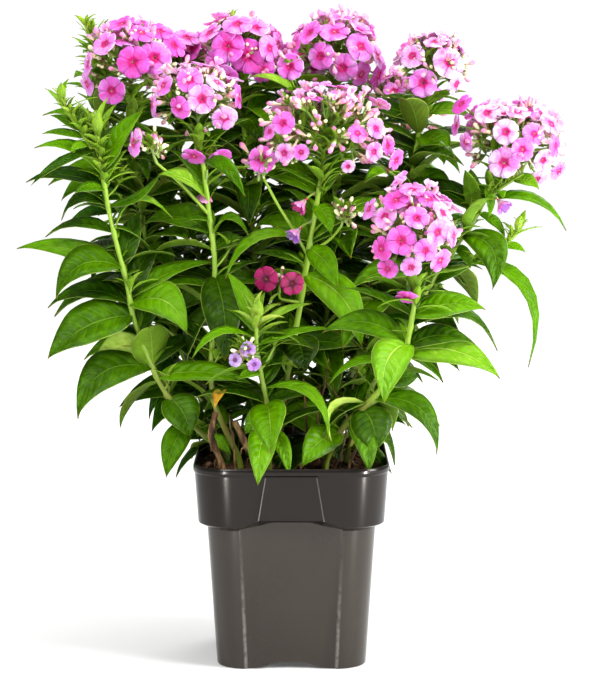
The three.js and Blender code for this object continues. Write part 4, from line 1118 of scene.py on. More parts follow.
def petal_finish(name):
    """A petal's colours from its own map: an eye ring, streaks from it, and a lighter margin."""
    finish = Finish(name, Subsurface_Weight=0.45, Subsurface_Scale=0.002,
                    Subsurface_Radius=(1.0, 0.35, 0.8), Specular_IOR_Level=0.2, Roughness=0.5,
                    Sheen_Weight=0.1)
    *tones, eye = PETALS[name]
    reach, across, _ = finish.split(finish.own_map())
    side = abs(across - 0.5) * 2.0
    streak = finish.noise(3.0, 3.0, (1.2, 9.0, 1.0), finish.own_map())
    cloud = finish.noise(110.0)
    margin = finish.maths("MAXIMUM", finish.band(reach, 0.72, 1.0), finish.band(side, 0.75, 1.05))
    light = finish.attribute("tone") + (cloud - 0.5) * 1.1 + (streak - 0.5) * 0.75
    light = (light + margin * 0.22).clamped()
    body = finish.ramp(light, [(place, *tone) for place, tone in zip((0.0, 0.4, 0.66, 1.0), tones)])
    flare = reach + (streak - 0.5) * 0.26 + side * 0.06
    body = finish.mix(finish.band(flare, 0.62, 0.14) * 0.46, body, eye)
    finish.colour(finish.mix(finish.band(flare, 0.32, 0.17), body, eye))
    finish.bump(streak, 0.35, 0.0005)
    return finish.material


def throat_finish():
    finish = Finish("floret_throat", Subsurface_Weight=0.2, Subsurface_Scale=0.001, Roughness=0.5)
    patch = finish.band(finish.noise(500.0, 1.0), 0.5, 0.64)
    finish.colour(finish.mix(patch, (190, 6, 78), (252, 214, 186)))
    return finish.material


def throat_pit_finish():
    finish = Finish("floret_throat_pit", Roughness=0.6)
    # The pit is coloured near black: partly the tube's own crimson, partly painted shade down the
    # floret's tube.
    finish.colour(finish.mix(finish.noise(900.0, 1.0), (52, 6, 22), (150, 50, 56)))
    return finish.material


def pot_finish(name, dark, light, gloss, highlight_strength):
    """Dark warm grey moulded plastic: glossy, faintly clouded, with fine drag marks. Highlight strength
    says how bright the painted highlight lines beside its corners are."""
    finish = Finish(name, Specular_IOR_Level=gloss, Specular_Tint=(1, 0.93, 0.86, 1))
    cloud = finish.noise(14.0, 4.0)
    speck = finish.noise(420.0, 2.0)
    drag = finish.noise(60.0, 3.0, (1, 1, 0.06))
    across, deep, height = finish.place()
    lesser = finish.maths("MINIMUM", abs(across), abs(deep))
    greater = finish.maths("MAXIMUM", abs(across), abs(deep))
    # Painted highlight: pale patchy lines where the flat sides meet the corner columns, brighter low on
    # the body.
    on_line = finish.band(abs(lesser - greater * HIGHLIGHT_LINE_SHARE), 0.002, 0.0)
    highlight_patches = finish.band(finish.noise(200.0, 4.0), 0.2, 0.6)
    painted_highlight = on_line * highlight_patches * (finish.band(height, 0.12, 0.02) * highlight_strength + highlight_strength * 0.1)
    finish.colour(finish.mix(painted_highlight, finish.mix(cloud, dark, light), (214, 208, 202)))
    finish.roughness(drag * 0.14 + 0.13)
    finish.bump(drag + speck * 0.2, 0.06, 0.0003)
    return finish.material


def label_edge_highlight_finish():
    # Painted highlight: the label's slanted edges are coloured much lighter than the collar.
    finish = Finish("pot_label_edge_painted_highlight", Specular_IOR_Level=0.4)
    finish.colour(finish.mix(finish.noise(300.0), (40, 36, 32), (92, 86, 80)))
    finish.roughness(finish.noise(60.0) * 0.2 + 0.3)
    return finish.material


def soil_finish():
    finish = Finish("potting_soil", Roughness=0.95, Specular_IOR_Level=0.15)
    coarse = finish.noise(160.0, 5.0)
    finish.colour(finish.ramp(coarse, [(0.25, 22, 14, 9), (0.5, 66, 46, 32), (0.72, 132, 100, 72)]))
    finish.bump(coarse + finish.noise(700.0) * 0.5, 0.9, 0.002)
    return finish.material


def bark_finish():
    finish = Finish("dry_bark", Roughness=0.8, Specular_IOR_Level=0.3)
    streak = finish.noise(230.0, 5.0, (1, 1, 0.3))
    finish.colour(finish.ramp(streak, [(0.3, 40, 27, 16), (0.5, 98, 66, 36), (0.7, 176, 142, 88)]))
    finish.bump(streak, 1.0, 0.0025)
    return finish.material


def old_leaf_finish():
    finish = Finish("withered_leaf", Roughness=0.7, Specular_IOR_Level=0.2, Subsurface_Weight=0.2,
                    Subsurface_Scale=0.002)
    patch = finish.noise(70.0)
    finish.colour(finish.ramp(patch, [(0.3, 124, 74, 22), (0.5, 204, 150, 34), (0.7, 176, 176, 52)]))
    finish.bump(patch, 0.6, 0.001)
    return finish.material


def floor_finish():
    """Nearly white, and brighter away from the middle, so that the floor meets the white room."""
    finish = Finish("pale_floor", Roughness=0.9, Specular_IOR_Level=0.1, Emission_Color=(1, 1, 1, 1))
    finish.colour(finish.mix(finish.noise(3.0, 1.0), (228, 228, 228), (231, 231, 231)))
    place = finish.add("ShaderNodeTexCoord", output="Object")
    distance = finish.add("ShaderNodeVectorMath", [(0, place)], output="Value", operation="LENGTH")
    glow = finish.band(distance, 0.7, 2.6) * 0.6 + 0.08
    finish.feed(finish.shader.inputs["Emission Strength"], glow)
    return finish.material


# ================================================================ patterns, each modelled once
def leaf_half_width(t):
    """A lance-shaped blade: how wide it is along its length, as a share of its widest."""
    return t ** 0.72 * (1 - t) ** 1.12 / 0.2845


def start_grid(name, rows, columns, finishes):
    """A flat grid from 0 to 1 along X."""
    deselect_all()
    bpy.ops.mesh.primitive_grid_add(x_subdivisions=rows, y_subdivisions=columns, size=1,
                                    location=(0.5, 0, 0))
    return start_piece(name, finishes)


def leaf_pattern(rows, columns, finishes):
    """A blade from 0 to 1 along X and from -1 to 1 across Y, with a channel along its midrib and
    puckers between its side veins. Its underside has the second finish."""
    piece = start_grid("leaf", rows, columns, finishes)
    for i in range(rows + 1):
        t = i / rows
        pick(piece, lambda place: abs(place.x - t) < 0.1 / rows)
        resize(1, 2 * max(0.004, leaf_half_width(t)), 1, (t, 0, 0))
        if 0 < i < rows and i % 2 == 0:
            pick(piece, lambda place: abs(place.x - t) < 0.1 / rows and abs(place.y) > 0.05)
            move(0, 0, 0.025)
    pick(piece, lambda place: abs(place.y) < 1e-4)
    move(0, 0, -0.06)
    bpy.ops.mesh.select_all(action="SELECT")
    bpy.ops.mesh.remove_doubles(threshold=0.002)
    leave_edit()
    thicken(piece, 0.045)
    shade(piece)
    return piece


def corolla_pattern(finishes):
    """Overlapping lobes of radius 1 round a sunken throat, facing +Z."""
    last = len(LOBE_ROWS) - 1
    piece = start_grid("corolla", last, 4, finishes)
    for i in reversed(range(last + 1)):
        t = i / last
        reach, half = LOBE_ROWS[i]
        pick(piece, lambda place: abs(place.x - t) < 0.1 / last)
        resize(1, 2 * half, 1, (t, 0, 0))
        move(reach - t, 0, 0)
    pick(piece, lambda place: abs(place.y) < 0.02 and place.x > 0.3)
    move(-0.015, 0, -0.04)
    pick(piece, lambda place: abs(place.y) > 0.3 and place.x > 0.5)
    move(-0.02, 0, -0.05)
    bpy.ops.mesh.select_all(action="SELECT")
    rotate(math.radians(6), "X")
    for _ in range(LOBES - 1):
        bpy.ops.mesh.duplicate()
        rotate(math.radians(360 / LOBES), "Z")
    leave_edit()
    thicken(piece, 0.024)
    shade(piece)
    return join([piece, throat_pattern(finishes)], "corolla")


def throat_pattern(finishes):
    """The mouth of a floret's tube: a low pale ring with a pit in it."""
    deselect_all()
    bpy.ops.mesh.primitive_cylinder_add(vertices=8, radius=0.085, depth=0.2, location=(0, 0, -0.075))
    piece = start_piece("throat", finishes)
    pick_faces(piece, lambda normal: normal.z > 0.9)
    bpy.ops.mesh.inset(thickness=0.03)
    move(0, 0, -0.07)
    leave_edit()
    for face in piece.data.polygons:
        face.material_index = 3 if face.normal.z > 0.9 else 2
    shade(piece, 50)
    return piece


def bud_pattern(name, finish, widths):
    """A closed bud from 0 to 1 along Z with half its width at each of its rings, and the turned folds
    of its petals."""
    deselect_all()
    bpy.ops.mesh.primitive_uv_sphere_add(segments=6, ring_count=len(widths) + 1, radius=0.5,
                                         location=(0, 0, 0.5))
    piece = start_piece(name, [finish])
    heights = sorted({round(vertex.co.z, 4) for vertex in bmesh.from_edit_mesh(piece.data).verts})
    for i, (height, width) in enumerate(zip(heights[1:-1], widths)):
        size = width / math.sqrt(height * (1 - height))
        pick(piece, lambda place: abs(place.z - height) < 0.001)
        resize(size, size, 1, (0, 0, height))
        rotate(0.09 * i, "Z", (0, 0, height))
    leave_edit()
    shade(piece)
    return piece


def calyx_pattern(finish):
    """The green cup below a floret or bud, from 0 to 1 along Z, with five pointed teeth."""
    def on_tooth(place):
        return place.z > 0.5 and round(math.degrees(math.atan2(place.y, place.x)) / 36) % 2 == 0

    deselect_all()
    bpy.ops.mesh.primitive_cylinder_add(vertices=10, radius=0.19, depth=0.6, location=(0, 0, 0.3))
    piece = start_piece("calyx", [finish])
    pick(piece, lambda place: place.z < 0.01)
    resize(0.45, 0.45, 1)
    pick(piece, on_tooth)
    move(0, 0, 0.4)
    resize(1.25, 1.25, 1, (0, 0, 1))
    pick_faces(piece, lambda normal: normal.z > 0.3)
    bpy.ops.mesh.poke()
    leave_edit()
    shade(piece, 60)
    return piece


# ================================================================ leaves and stems
def leaf_frame(leaf):
    """The blade's own directions, worked out as in the solids."""
    chord = leaf["tip"] - leaf["root"]
    along = unit(chord)
    level = unit(np.array((-chord[1], chord[0], 0.0)))
    if level[1] > 0:
        level = -level
    lift = unit(np.array((0.0, 0.0, 1.0)) - along * along[2])
    roll = math.radians(leaf["roll"])
    side = level * math.cos(roll) - lift * math.sin(roll)
    face = lift * math.cos(roll) + level * math.sin(roll)
    hand = 1 if np.dot(np.cross(along, side), face) > 0 else -1
    return chord, lift, side, hand


def bend_leaf(blade, leaf, draw):
    """The pattern blade's vertices bent along a leaf's middle line, with its own waves and twist."""
    chord, lift, side, hand = leaf_frame(leaf)
    t = blade[:, 0:1]
    across = blade[:, 1:2] * hand
    half = leaf["width"] / 2
    depth = draw.uniform(0.02, 0.09)
    wave = depth * np.sin(2 * math.pi * (draw.uniform(1.2, 2.4) * t + draw.uniform(0, 1)))
    curl = draw.uniform(-0.12, 0.1)
    pillow = 0.07 * np.sin(math.pi * np.minimum(1, np.abs(across)))
    height = blade[:, 2:3] + leaf["fold"] * np.abs(across) * (1 - 0.3 * t) + pillow
    height = height + wave * across ** 2 * np.sign(across) + curl * across ** 2
    middle = leaf["root"] + chord * t + lift * (leaf["arch"] * 4 * t * (1 - t))
    heading = chord + lift * (leaf["arch"] * 4 * (1 - 2 * t))
    normal = np.cross(heading, side) * hand
    normal = normal / np.linalg.norm(normal, axis=1, keepdims=True)
    twist = draw.uniform(-0.25, 0.25) * (t - 0.3) * np.minimum(1, 4 * (1 - t))
    sideways = side * np.cos(twist) + normal * np.sin(twist)
    outward = normal * np.cos(twist) - side * np.sin(twist)
    return middle + sideways * (across * half) + outward * (height * half)


def bent_copy(pattern, leaf, draw, tone):
    return shaped_copy(pattern["piece"], bend_leaf(pattern["points"], leaf, draw), tone=tone)


def stem_strand(line, radii, joints):
    """A shoot's round stem as a strand, thicker at each height where leaves join it."""
    points = smooth_points(line, 6)
    widths = []
    for point, radius in zip(points, np.linspace(*radii, len(points))):
        swelling = sum(math.exp(-((point[2] - height) / 2.5) ** 2) for height in joints)
        widths.append(radius * (1 + 0.28 * min(1, swelling)))
    return points, widths, 0


def sprout(line, height, azimuth, rise, length, tone, slenderness=0.31, arch=0.12, roll=0, fold=FOLD):
    """A slim leaf that leaves a shoot at a height, in a direction and at a rise in degrees."""
    root = point_at_height(line, height)
    tip = root + direction(azimuth, math.radians(rise)) * length
    return leaf_row(root, tip, length * slenderness, length * arch, roll, tone, fold)


def filling_leaves(shoot, line, draw):
    """Smaller pairs of leaves between the large ones, and the young leaves at each joint. On a stem
    whose large leaves are only listed at the front, they grow towards the back."""
    leaves = []
    all_round = shoot["pairs"]["side"] == "all"
    low, high = line[0][2] + 40, line[-1][2] - 8
    height, azimuth = low, draw.uniform(0, 3)
    while height < high:
        share = (height - low) / (high - low)
        for opposite in (0, math.pi):
            heading = azimuth + opposite + draw.uniform(-0.4, 0.4)
            length = draw.uniform(50, 84) * (1 - 0.3 * share)
            # These leaves are painted darker the lower they grow, a painted shade for the inside of the
            # plant.
            leaf = sprout(line, height, heading, draw.uniform(-60, 40) + 30 * share, length,
                          0.04 + 0.34 * share, roll=draw.uniform(-35, 45))
            young = sprout(line, height + 4, heading + draw.uniform(-0.6, 0.6), draw.uniform(20, 60),
                           draw.uniform(16, 30), 0.5 + 0.2 * share)
            if all_round or math.sin(heading) > -0.1:
                leaves += [leaf, young]
            if all_round and 0.3 < share < 0.9:
                # Painted shade: the extra leaves in the shade take a very dark tone.
                shaded = sprout(line, height + 8, heading + 1.2, draw.uniform(-45, 35),
                                draw.uniform(60, 84), 0.06, roll=draw.uniform(-35, 60))
                if abs(shaded["tip"][0]) < SHADED_LIMIT:
                    leaves.append(shaded)
        azimuth += math.pi / 2 + draw.uniform(-0.3, 0.3)
        height += draw.uniform(15, 20) * (1 - 0.2 * share)
    return leaves


def young_leaves(line, count, length, reach, lightness, draw):
    """The crowded narrow leaves of a growing tip, over its last stretch."""
    leaves = []
    for i in range(count):
        share = i / count
        size = length * (1 - 0.4 * share) * draw.uniform(0.7, 1.15)
        height = line[-1][2] + 3 - reach * (1 - share)
        leaves.append(sprout(line, height, i * GOLDEN_ANGLE, draw.uniform(12, 46) + 28 * share, size,
                             lightness + draw.uniform(0, 0.28) + 0.12 * share,
                             slenderness=0.27, arch=0.13, roll=draw.uniform(-30, 30), fold=0.5))
    return leaves


def axil_shoot(line, height, azimuth, draw):
    """A short side shoot in the angle of a leaf: its thin stalk, and the small narrow leaves on it."""
    root = point_at_height(line, height)
    end = root + direction(azimuth, draw.uniform(0.5, 1.1)) * draw.uniform(12, 34)
    twig = [root, root * 0.5 + end * 0.5 - (0, 0, 2), end]
    leaves = []
    count = 7
    for i in range(count):
        share = i / count
        size = draw.uniform(17, 30) * (1 - 0.45 * share)
        height = end[2] - 7 * (1 - share)
        leaves.append(sprout(twig, height, i * GOLDEN_ANGLE, draw.uniform(0, 30) + 45 * share, size,
                             0.5 + 0.3 * share, slenderness=0.28, roll=draw.uniform(-20, 20), fold=0.45))
    return (smooth_points(twig, 3), [1.0] * 7, 0), leaves


def make_shoots(patterns, stem_skin):
    """Every stem with its side shoots and leaves, one piece of each for a node."""
    trunks = {}
    lines = []
    strands = {}
    blades = {}
    for i, shoot in enumerate(SHOOTS):
        node = shoot["node"]
        line = middle_line(shoot, trunks.get(node))
        lines.append(line)
        if shoot["rooted"]:
            trunks[node] = line
        if node.startswith("dry"):
            continue
        draw = np.random.default_rng(500 + i)
        corners = corners_of(node)
        leaves = [taken(corners, choices, lambda choice: choice["tip"])
                  for choices in leaf_choices(shoot, line, make_random(200 + i))]
        leaves = [leaf for leaf in leaves if leaf]
        joints = [leaf["root"][2] for leaf in leaves]
        strands.setdefault(node, []).append(stem_strand(line, shoot["radius"], joints))
        if shoot["rooted"]:
            leaves += filling_leaves(shoot, line, draw)
            spacing = 34 if shoot["pairs"]["side"] == "all" else 90
            for height in np.arange(250 + draw.uniform(0, 30), line[-1][2] - 30, spacing):
                twig, small = axil_shoot(line, height, draw.uniform(0, 6.28), draw)
                strands[node].append(twig)
                leaves += small
            if node in YOUNG_TIPS:
                count, length, reach, growth, lightness = YOUNG_TIPS[node]
                grown = [*line, line[-1] + growth]
                strands[node].append((grown[-2:], [1.4, 0.8], 0))
                leaves += young_leaves(grown, count, length, reach, lightness, draw)
        elif "tuft" in shoot:
            leaves += young_leaves(line, 40, shoot["tuft"]["length"] * 0.8, 40, 0.6, draw)
        for leaf in leaves:
            width = leaf["width"]
            size = "long" if width >= LONG_WIDTH else "short" if width >= SHORT_WIDTH else "tiny"
            places = bend_leaf(patterns[size]["points"], leaf, draw)
            # Leaves towards the right get painted light.
            tone = leaf["tone"] + draw.uniform(-0.08, 0.08) + PAINTED_LIGHT_RIGHTWARD * max(0, leaf["tip"][0])
            blades.setdefault(node, []).append(shaped_copy(patterns[size]["piece"], places, tone=tone))
    for node, stalks in strands.items():
        hand_over(join(blades[node], node + "_leaves"), node, "green_shoot")
        hand_over(strands_piece(node + "_stalks", stalks, [stem_skin], sides=10), node, "green_shoot")
    return lines


# ================================================================ flower heads
def place_pattern(points, place, axes, scale):
    """A pattern's vertices turned to axes, scaled and moved, in mm."""
    return place + (points * scale) @ axes


def stalk_to(start, start_way, end, end_way, pull, steps):
    """A smooth curve between two points that leaves and arrives in given directions."""
    a, b = start + start_way * pull, end + end_way * pull
    line = []
    for i in range(steps + 1):
        t = i / steps
        s = 1 - t
        line.append(start * s ** 3 + a * 3 * t * s ** 2 + b * 3 * t * t * s + end * t ** 3)
    return line


def crowding_places(head, others, count, apart, low, reach, draw, backward=-1.0):
    """Places and facings over a head, apart from one another, for what crowds between its florets. They
    look at least so far backward, from -1 for all of the head to 1 for its very back."""
    centre = np.array(head["centre"], float)
    found = []
    tries = 6 * count + 40
    for i in range(tries):
        if len(found) == count:
            break
        outward = direction(i * GOLDEN_ANGLE + 0.9, math.asin(0.98 - (0.98 - low) * i / tries))
        place = centre + outward * head["radii"] * draw.uniform(*reach)
        free = all(np.linalg.norm(other - place) > apart for other in others)
        if free and outward[1] > backward:
            others.append(place)
            lean = np.array((draw.uniform(-0.7, 0.7), draw.uniform(-0.7, 0.7), draw.uniform(-0.1, 0.8)))
            found.append((place, unit(outward + lean)))
    return found


def cupped(points, degrees):
    """A corolla's points with its lobes folded forward by an angle."""
    reach = np.hypot(points[:, 0], points[:, 1])
    angle = math.radians(degrees) * np.minimum(1, reach / 0.3)
    shaped = points * np.cos(angle)[:, None]
    shaped[:, 2] = points[:, 2] + reach * np.sin(angle)
    return shaped


class HeadBuilder:
    """Collects the parts of one head: corollas, and the green of it with stalks, calyces and buds."""

    def __init__(self, head, tip, patterns, draw):
        self.centre = np.array(head["centre"], float)
        self.radii = head["radii"]
        self.tip = tip
        self.patterns = patterns
        self.draw = draw
        self.corollas = []
        self.greens = []
        self.strands = []
        self.top = self.centre * 0.8 + tip * 0.2
        usual = DOME_HUBS if self.radii[0] > DOME_RADIUS else SMALL_HUBS
        count, near, far = OWN_HUBS.get(head["node"], usual)
        self.hubs = []
        for i in range(count):
            outward = direction(i * GOLDEN_ANGLE, math.asin(0.9 - 1.75 * i / count))
            self.hubs.append(self.centre + outward * self.radii * draw.uniform(near, far))

    def green_copy(self, kind, foot, way, length, tone):
        pattern = self.patterns[kind]
        places = place_pattern(pattern["points"], foot, framed(way, self.draw.uniform(0, 6)), length)
        self.greens.append(shaped_copy(pattern["piece"], places, tone=tone))

    def stalk(self, line, radii, material=0):
        self.strands.append((line, radii, material))

    def calyx(self, mouth, way, length):
        """A calyx round a mouth, and the stalk from it to the nearest hub."""
        self.green_copy("calyx", mouth - way * length * 0.7, way, length, self.draw.uniform(0, 1))
        base = mouth - way * length * 0.65
        hub = min(self.hubs, key=lambda place: np.linalg.norm(place - base))
        pull = np.linalg.norm(base - hub) * 0.35
        self.stalk(stalk_to(hub, unit(base - self.tip), base, -way, pull, 3), [0.62] * 4)

    def floret(self, place, facing, radius, spin, tone, fold, tube):
        """A corolla on its tube, in its calyx."""
        draw = self.draw
        points = cupped(self.patterns["corolla"]["points"], fold)
        reach = np.hypot(points[:, 0], points[:, 1])
        around = np.arctan2(points[:, 1], points[:, 0])
        ruffle = draw.uniform(0.02, 0.07) * np.sin(3 * around + draw.uniform(0, 6))
        points[:, 2] += reach ** 2 * (draw.uniform(-0.14, 0.06) + ruffle)
        places = place_pattern(points, place, framed(facing, spin), radius)
        tone = np.clip(tone, 0, 1)
        self.corollas.append(shaped_copy(self.patterns["corolla"]["piece"], places, tone=tone))
        inward = unit(self.centre - place)
        mouth = place - facing * tube * 0.45 + inward * tube * 0.55
        way = unit(facing - inward)
        line = stalk_to(mouth - way * 2, way, place - facing * 0.14 * radius, -facing, tube * 0.4, 4)
        self.stalk(line, [1.0, 0.95, 0.95, 1.0, 1.25], 1)
        self.calyx(mouth, way, 9)

    def bud(self, place, way, kind, length):
        """A bud with its tip at a place, in a calyx on a stalk."""
        self.green_copy(kind, place - way * length, way, length, float(kind == "opening"))
        self.calyx(place - way * length * 0.68, way, 7.5)

    def cluster(self, hub, count, opening_share):
        """The calyces and buds that stand close round the end of a branch."""
        outward = unit(hub - self.centre + (0, 0, 0.25 * self.radii[2]))
        for _ in range(count):
            way = unit(outward + self.draw.uniform(-0.75, 0.75, 3))
            foot = hub + way * self.draw.uniform(1, 5)
            length = self.draw.uniform(6.5, 9)
            self.green_copy("calyx", foot, way, length, 0.5)
            self.stalk([hub, foot + way], [0.6, 0.6])
            if self.draw.uniform() < opening_share:
                self.green_copy("opening", foot + way * 2, way, self.draw.uniform(13, 18), 1.0)
            elif self.draw.uniform() < 0.8:
                self.green_copy("bud", foot + way * length * 0.4, way, self.draw.uniform(6, 9), 0.0)

    def small_leaf(self, line, height, azimuth, rise, length):
        leaf = sprout(line, height, azimuth, rise, length, self.draw.uniform(0.3, 0.75))
        self.greens.append(bent_copy(self.patterns["tiny"], leaf, self.draw, leaf["tone"]))

    def branches(self):
        """The stem goes on into the head. A branch leaves it for each hub, with bracts at both ends."""
        draw = self.draw
        self.stalk([self.tip, self.tip * 0.5 + self.top * 0.5, self.top], [1.7, 1.4, 1.0])
        height = self.top[2] - self.tip[2]
        for hub in self.hubs:
            share = np.clip((hub[2] - self.tip[2]) / height - 0.45, 0, 0.95)
            foot = self.tip + (self.top - self.tip) * share
            line = stalk_to(foot, unit(self.top - self.tip), hub, unit(foot - hub), 5, 4)
            self.stalk(line, [1.2, 1.1, 1.0, 0.9, 0.8])
            heading = math.atan2(hub[1] - self.tip[1], hub[0] - self.tip[0])
            for side in (-1.0, 1.0):
                self.small_leaf([hub - (0, 0, 10), hub], hub[2], heading + side, draw.uniform(0, 50),
                                draw.uniform(9, 18))
            for at in (foot, foot * 0.5 + hub * 0.5):
                self.small_leaf([at - (0, 0, 10), at], at[2], heading + draw.uniform(-1.5, 1.5),
                                draw.uniform(0, 60), draw.uniform(14, 26))

    def collar_leaves(self, count):
        """Small leaves round the foot of the head."""
        line = [self.tip - (0, 0, 40), self.tip]
        for i in range(count):
            height = self.tip[2] - 22 + 20 * i / count
            self.small_leaf(line, height, i * GOLDEN_ANGLE, self.draw.uniform(-10, 60),
                            self.draw.uniform(20, 38))

    def green_piece(self, name, materials, sides):
        """The stalks and all that is green on them as one piece."""
        return join([strands_piece(name, self.strands, materials, sides=sides), *self.greens], name)


def make_head(head, tip, patterns, stalk_finishes, petals, index):
    """One head from its packed florets and buds, with more of them crowded between."""
    node = head["node"]
    corners = corners_of(node)
    random = make_random(100 + index)
    draw = np.random.default_rng(900 + index)
    tint, spread, more, radius, half_open, bud_count, opening_share = HEAD_LOOKS.get(node, BACK_HEAD)
    builder = HeadBuilder(head, tip, patterns, draw)
    others = []

    def crowd(count, apart, low, reach, size, paler, fold, tube, backward=-1.0):
        for place, facing in crowding_places(head, others, count, apart, low, reach, draw, backward):
            builder.floret(place, facing, radius * draw.uniform(*size), draw.uniform(0, 6),
                           tint + paler + draw.uniform(-spread, spread), draw.uniform(*fold), tube)

    for choices in floret_choices(head, random):
        floret = taken(corners, choices,
                       lambda choice: choice["place"] - choice["facing"] * FLORET_BACK)
        if floret:
            others.append(floret["place"])
            builder.floret(floret["place"], floret["facing"], floret["radius"], floret["spin"],
                           tint + draw.uniform(-spread, spread), draw.uniform(-8, 10), 15)
    for choices in bud_choices(head, random):
        bud = taken(corners, choices, lambda choice: choice["tip"])
        if bud:
            others.append(bud["tip"])
            builder.bud(bud["tip"], bud["facing"], "bud", 10)
    crowd(more, radius * 1.1, -0.45, (0.72, 1.0), size=(0.8, 1.05), paler=0, fold=(-10, 30), tube=15)
    crowd(half_open, 8, -0.6, (0.75, 1.1), size=(0.5, 0.78), paler=0.3, fold=(40, 74), tube=17)
    for place, facing in crowding_places(head, others, bud_count, 5, -0.7, (0.8, 1.1), draw):
        builder.bud(place, facing, "opening", draw.uniform(14, 19))
    builder.branches()
    for hub in builder.hubs:
        builder.cluster(hub, 6 if len(builder.hubs) > 4 else 3, opening_share)
    if head["radii"][0] > DOME_RADIUS:
        builder.collar_leaves(14)
        crowd(BACK_FLORETS, radius * 0.72, -0.35, (0.95, 1.1), size=(0.85, 1.1), paler=0, fold=(-10, 20),
              tube=15, backward=0.3)
    green = builder.green_piece(node + "_stalks_and_buds", stalk_finishes, 4)
    hand_over(green, node, "green_shoot")
    if builder.corollas:
        bloom = join(builder.corollas, node + "_florets")
        if node in OTHER_PETALS:
            bloom.data.materials[0] = petals[OTHER_PETALS[node]]
        hand_over(bloom, node, "lilac_florets" if node == "head_lilac" else "pink_florets")


def make_strays(lines, patterns, stalk_finishes, petals):
    """Withered florets on their short stalks."""
    corollas = {True: [], False: []}
    no_head = {"node": "strays", "centre": (0, 0, 0), "radii": (1, 1, 1)}
    builder = HeadBuilder(no_head, np.zeros(3), patterns, np.random.default_rng(77))
    for node, place, is_lilac in STRAYS:
        line = next(line for shoot, line in zip(SHOOTS, lines) if shoot["node"] == node)
        place = np.array(place, float)
        foot = point_at_height(line, place[2] + 4)
        builder.centre = foot
        builder.hubs = [foot]
        builder.tip = foot - (0, 0, 10)
        builder.corollas = corollas[is_lilac]
        builder.floret(place, unit(place - foot - (0, 0, 9)), 14, 1.0, 0.4, 56, 14)
    green = builder.green_piece("stray_stalks", stalk_finishes, 6)
    pink, lilac = join(corollas[False], "stray_pink_florets"), join(corollas[True], "stray_lilac_florets")
    pink.data.materials[0] = petals["petal_magenta"]
    lilac.data.materials[0] = petals["petal_lilac"]
    hand_over_extra(green)
    hand_over_extra(pink)
    hand_over_extra(lilac)


# ================================================================ dry stalks
def make_dry_stalk(shoot, line, bark):
    """One cut stalk of last year, with strips of bark that peel from it."""
    points = smooth_points(line, 6)
    draw = np.random.default_rng(len(points))
    radii = np.linspace(*shoot["radius"], len(points))
    radii = [radius * (1 + draw.uniform(-0.16, 0.16)) for radius in radii]
    strips = [(points, radii, 0)]
    for i in range(2, len(points) - 3, 3):
        way = direction(draw.uniform(0, 6.28), draw.uniform(-0.9, -0.2))
        root = points[i] + way * radii[i] * 0.6
        strips.append(([root, root + way * 4, root + way * 5 - (0, 0, 5)], [1.1, 0.7, 0.3], 0))
    stalk = strands_piece(shoot["node"] + "_bark", strips, [bark], sides=12)
    hand_over(stalk, shoot["node"], "dry_stalk")


def make_twigs(patterns, bark, withered):
    """The thin dead twigs between the stems, each forked once, and the old leaves among them."""
    twigs = []
    for root, (along, deep), length in TWIGS:
        draw = np.random.default_rng(len(twigs) + 70)
        points = [np.array((*root, SOIL_TOP - 4.0))]
        for _ in range(5):
            way = np.array((along, deep, 1.0)) + draw.uniform(-0.22, 0.22, 3)
            points.append(points[-1] + way * length / 5)
        twigs.append((smooth_points(points, 3), np.linspace(1.5, 0.6, 16), 0))
        way = np.array((deep - along, along, 0.7)) + draw.uniform(-0.5, 0.5, 3)
        fork = points[3] + way * length / 4
        twigs.append(([points[3], points[3] * 0.5 + fork * 0.5 + (1, 0, 1), fork], [0.8, 0.6, 0.4], 0))
    draw = np.random.default_rng(60)
    old_leaves = []
    for root, azimuth, rise, length in OLD_LEAVES:
        root = np.array(root, float)
        leaf = sprout([root - (0, 0, 9), root], root[2], azimuth, rise, length, 0.5)
        old_leaf = bent_copy(patterns["short"], leaf, draw, 0.5)
        old_leaf.data.materials.clear()
        old_leaf.data.materials.append(withered)
        old_leaves.append(old_leaf)
    piece = join([strands_piece("dead_twigs", twigs, [bark], sides=6), *old_leaves], "dead_twigs")
    hand_over_extra(piece)


# ================================================================ pot
def make_pot(finish, collar_shade_finish, edge_highlight_finish):
    """The pot from one rounded square: out over the feet, up the body and the collar, over the rolled lip
    and down inside to the floor. The collar and the inside are painted darker than the body, a painted
    shade."""
    start = BASE_HALF - FOOT_WIDTH - 2
    deselect_all()
    bpy.ops.mesh.primitive_plane_add(size=2 * start * MM, location=(0, 0, FOOT_RISE * MM))
    pot = start_piece("pot_moulding", [finish, collar_shade_finish])
    bpy.ops.mesh.select_all(action="SELECT")
    bpy.ops.mesh.bevel(offset=POT_CORNER * start * MM, affect="VERTICES", segments=10)
    bpy.ops.mesh.select_mode(type="EDGE")
    bpy.ops.mesh.select_all(action="DESELECT")
    mesh = bmesh.from_edit_mesh(pot.data)
    for edge in mesh.edges:
        edge.select = edge.calc_length() > start * MM
    bmesh.update_edit_mesh(pot.data)
    bpy.ops.mesh.subdivide(number_cuts=SIDE_CUTS)
    bpy.ops.mesh.select_mode(type="FACE")
    bpy.ops.mesh.select_all(action="SELECT")
    half, z = start, FOOT_RISE
    for next_half, next_z in POT_RINGS:
        bpy.ops.mesh.extrude_region_move(TRANSFORM_OT_translate={"value": (0, 0, (next_z - z) * MM)})
        size = next_half / half
        resize(size, size, 1, (0, 0, next_z * MM))
        half, z = next_half, next_z
    raise_sides(pot, FOOT_RINGS, FOOT_RISE, 0.12)
    raise_sides(pot, COLLAR_RINGS, COLLAR_RISE, 0.0)
    recess_sides(pot)
    bpy.ops.mesh.select_all(action="SELECT")
    bpy.ops.mesh.normals_make_consistent(inside=False)
    leave_edit()
    for face in pot.data.polygons:
        face.material_index = 1 if face.center.z > COLLAR_START * MM else 0
    shade(pot, 32)
    panel = make_label_panel(collar_shade_finish, edge_highlight_finish)
    hand_over(join([pot, panel], "pot_moulding"), "pot", "pot_plastic")


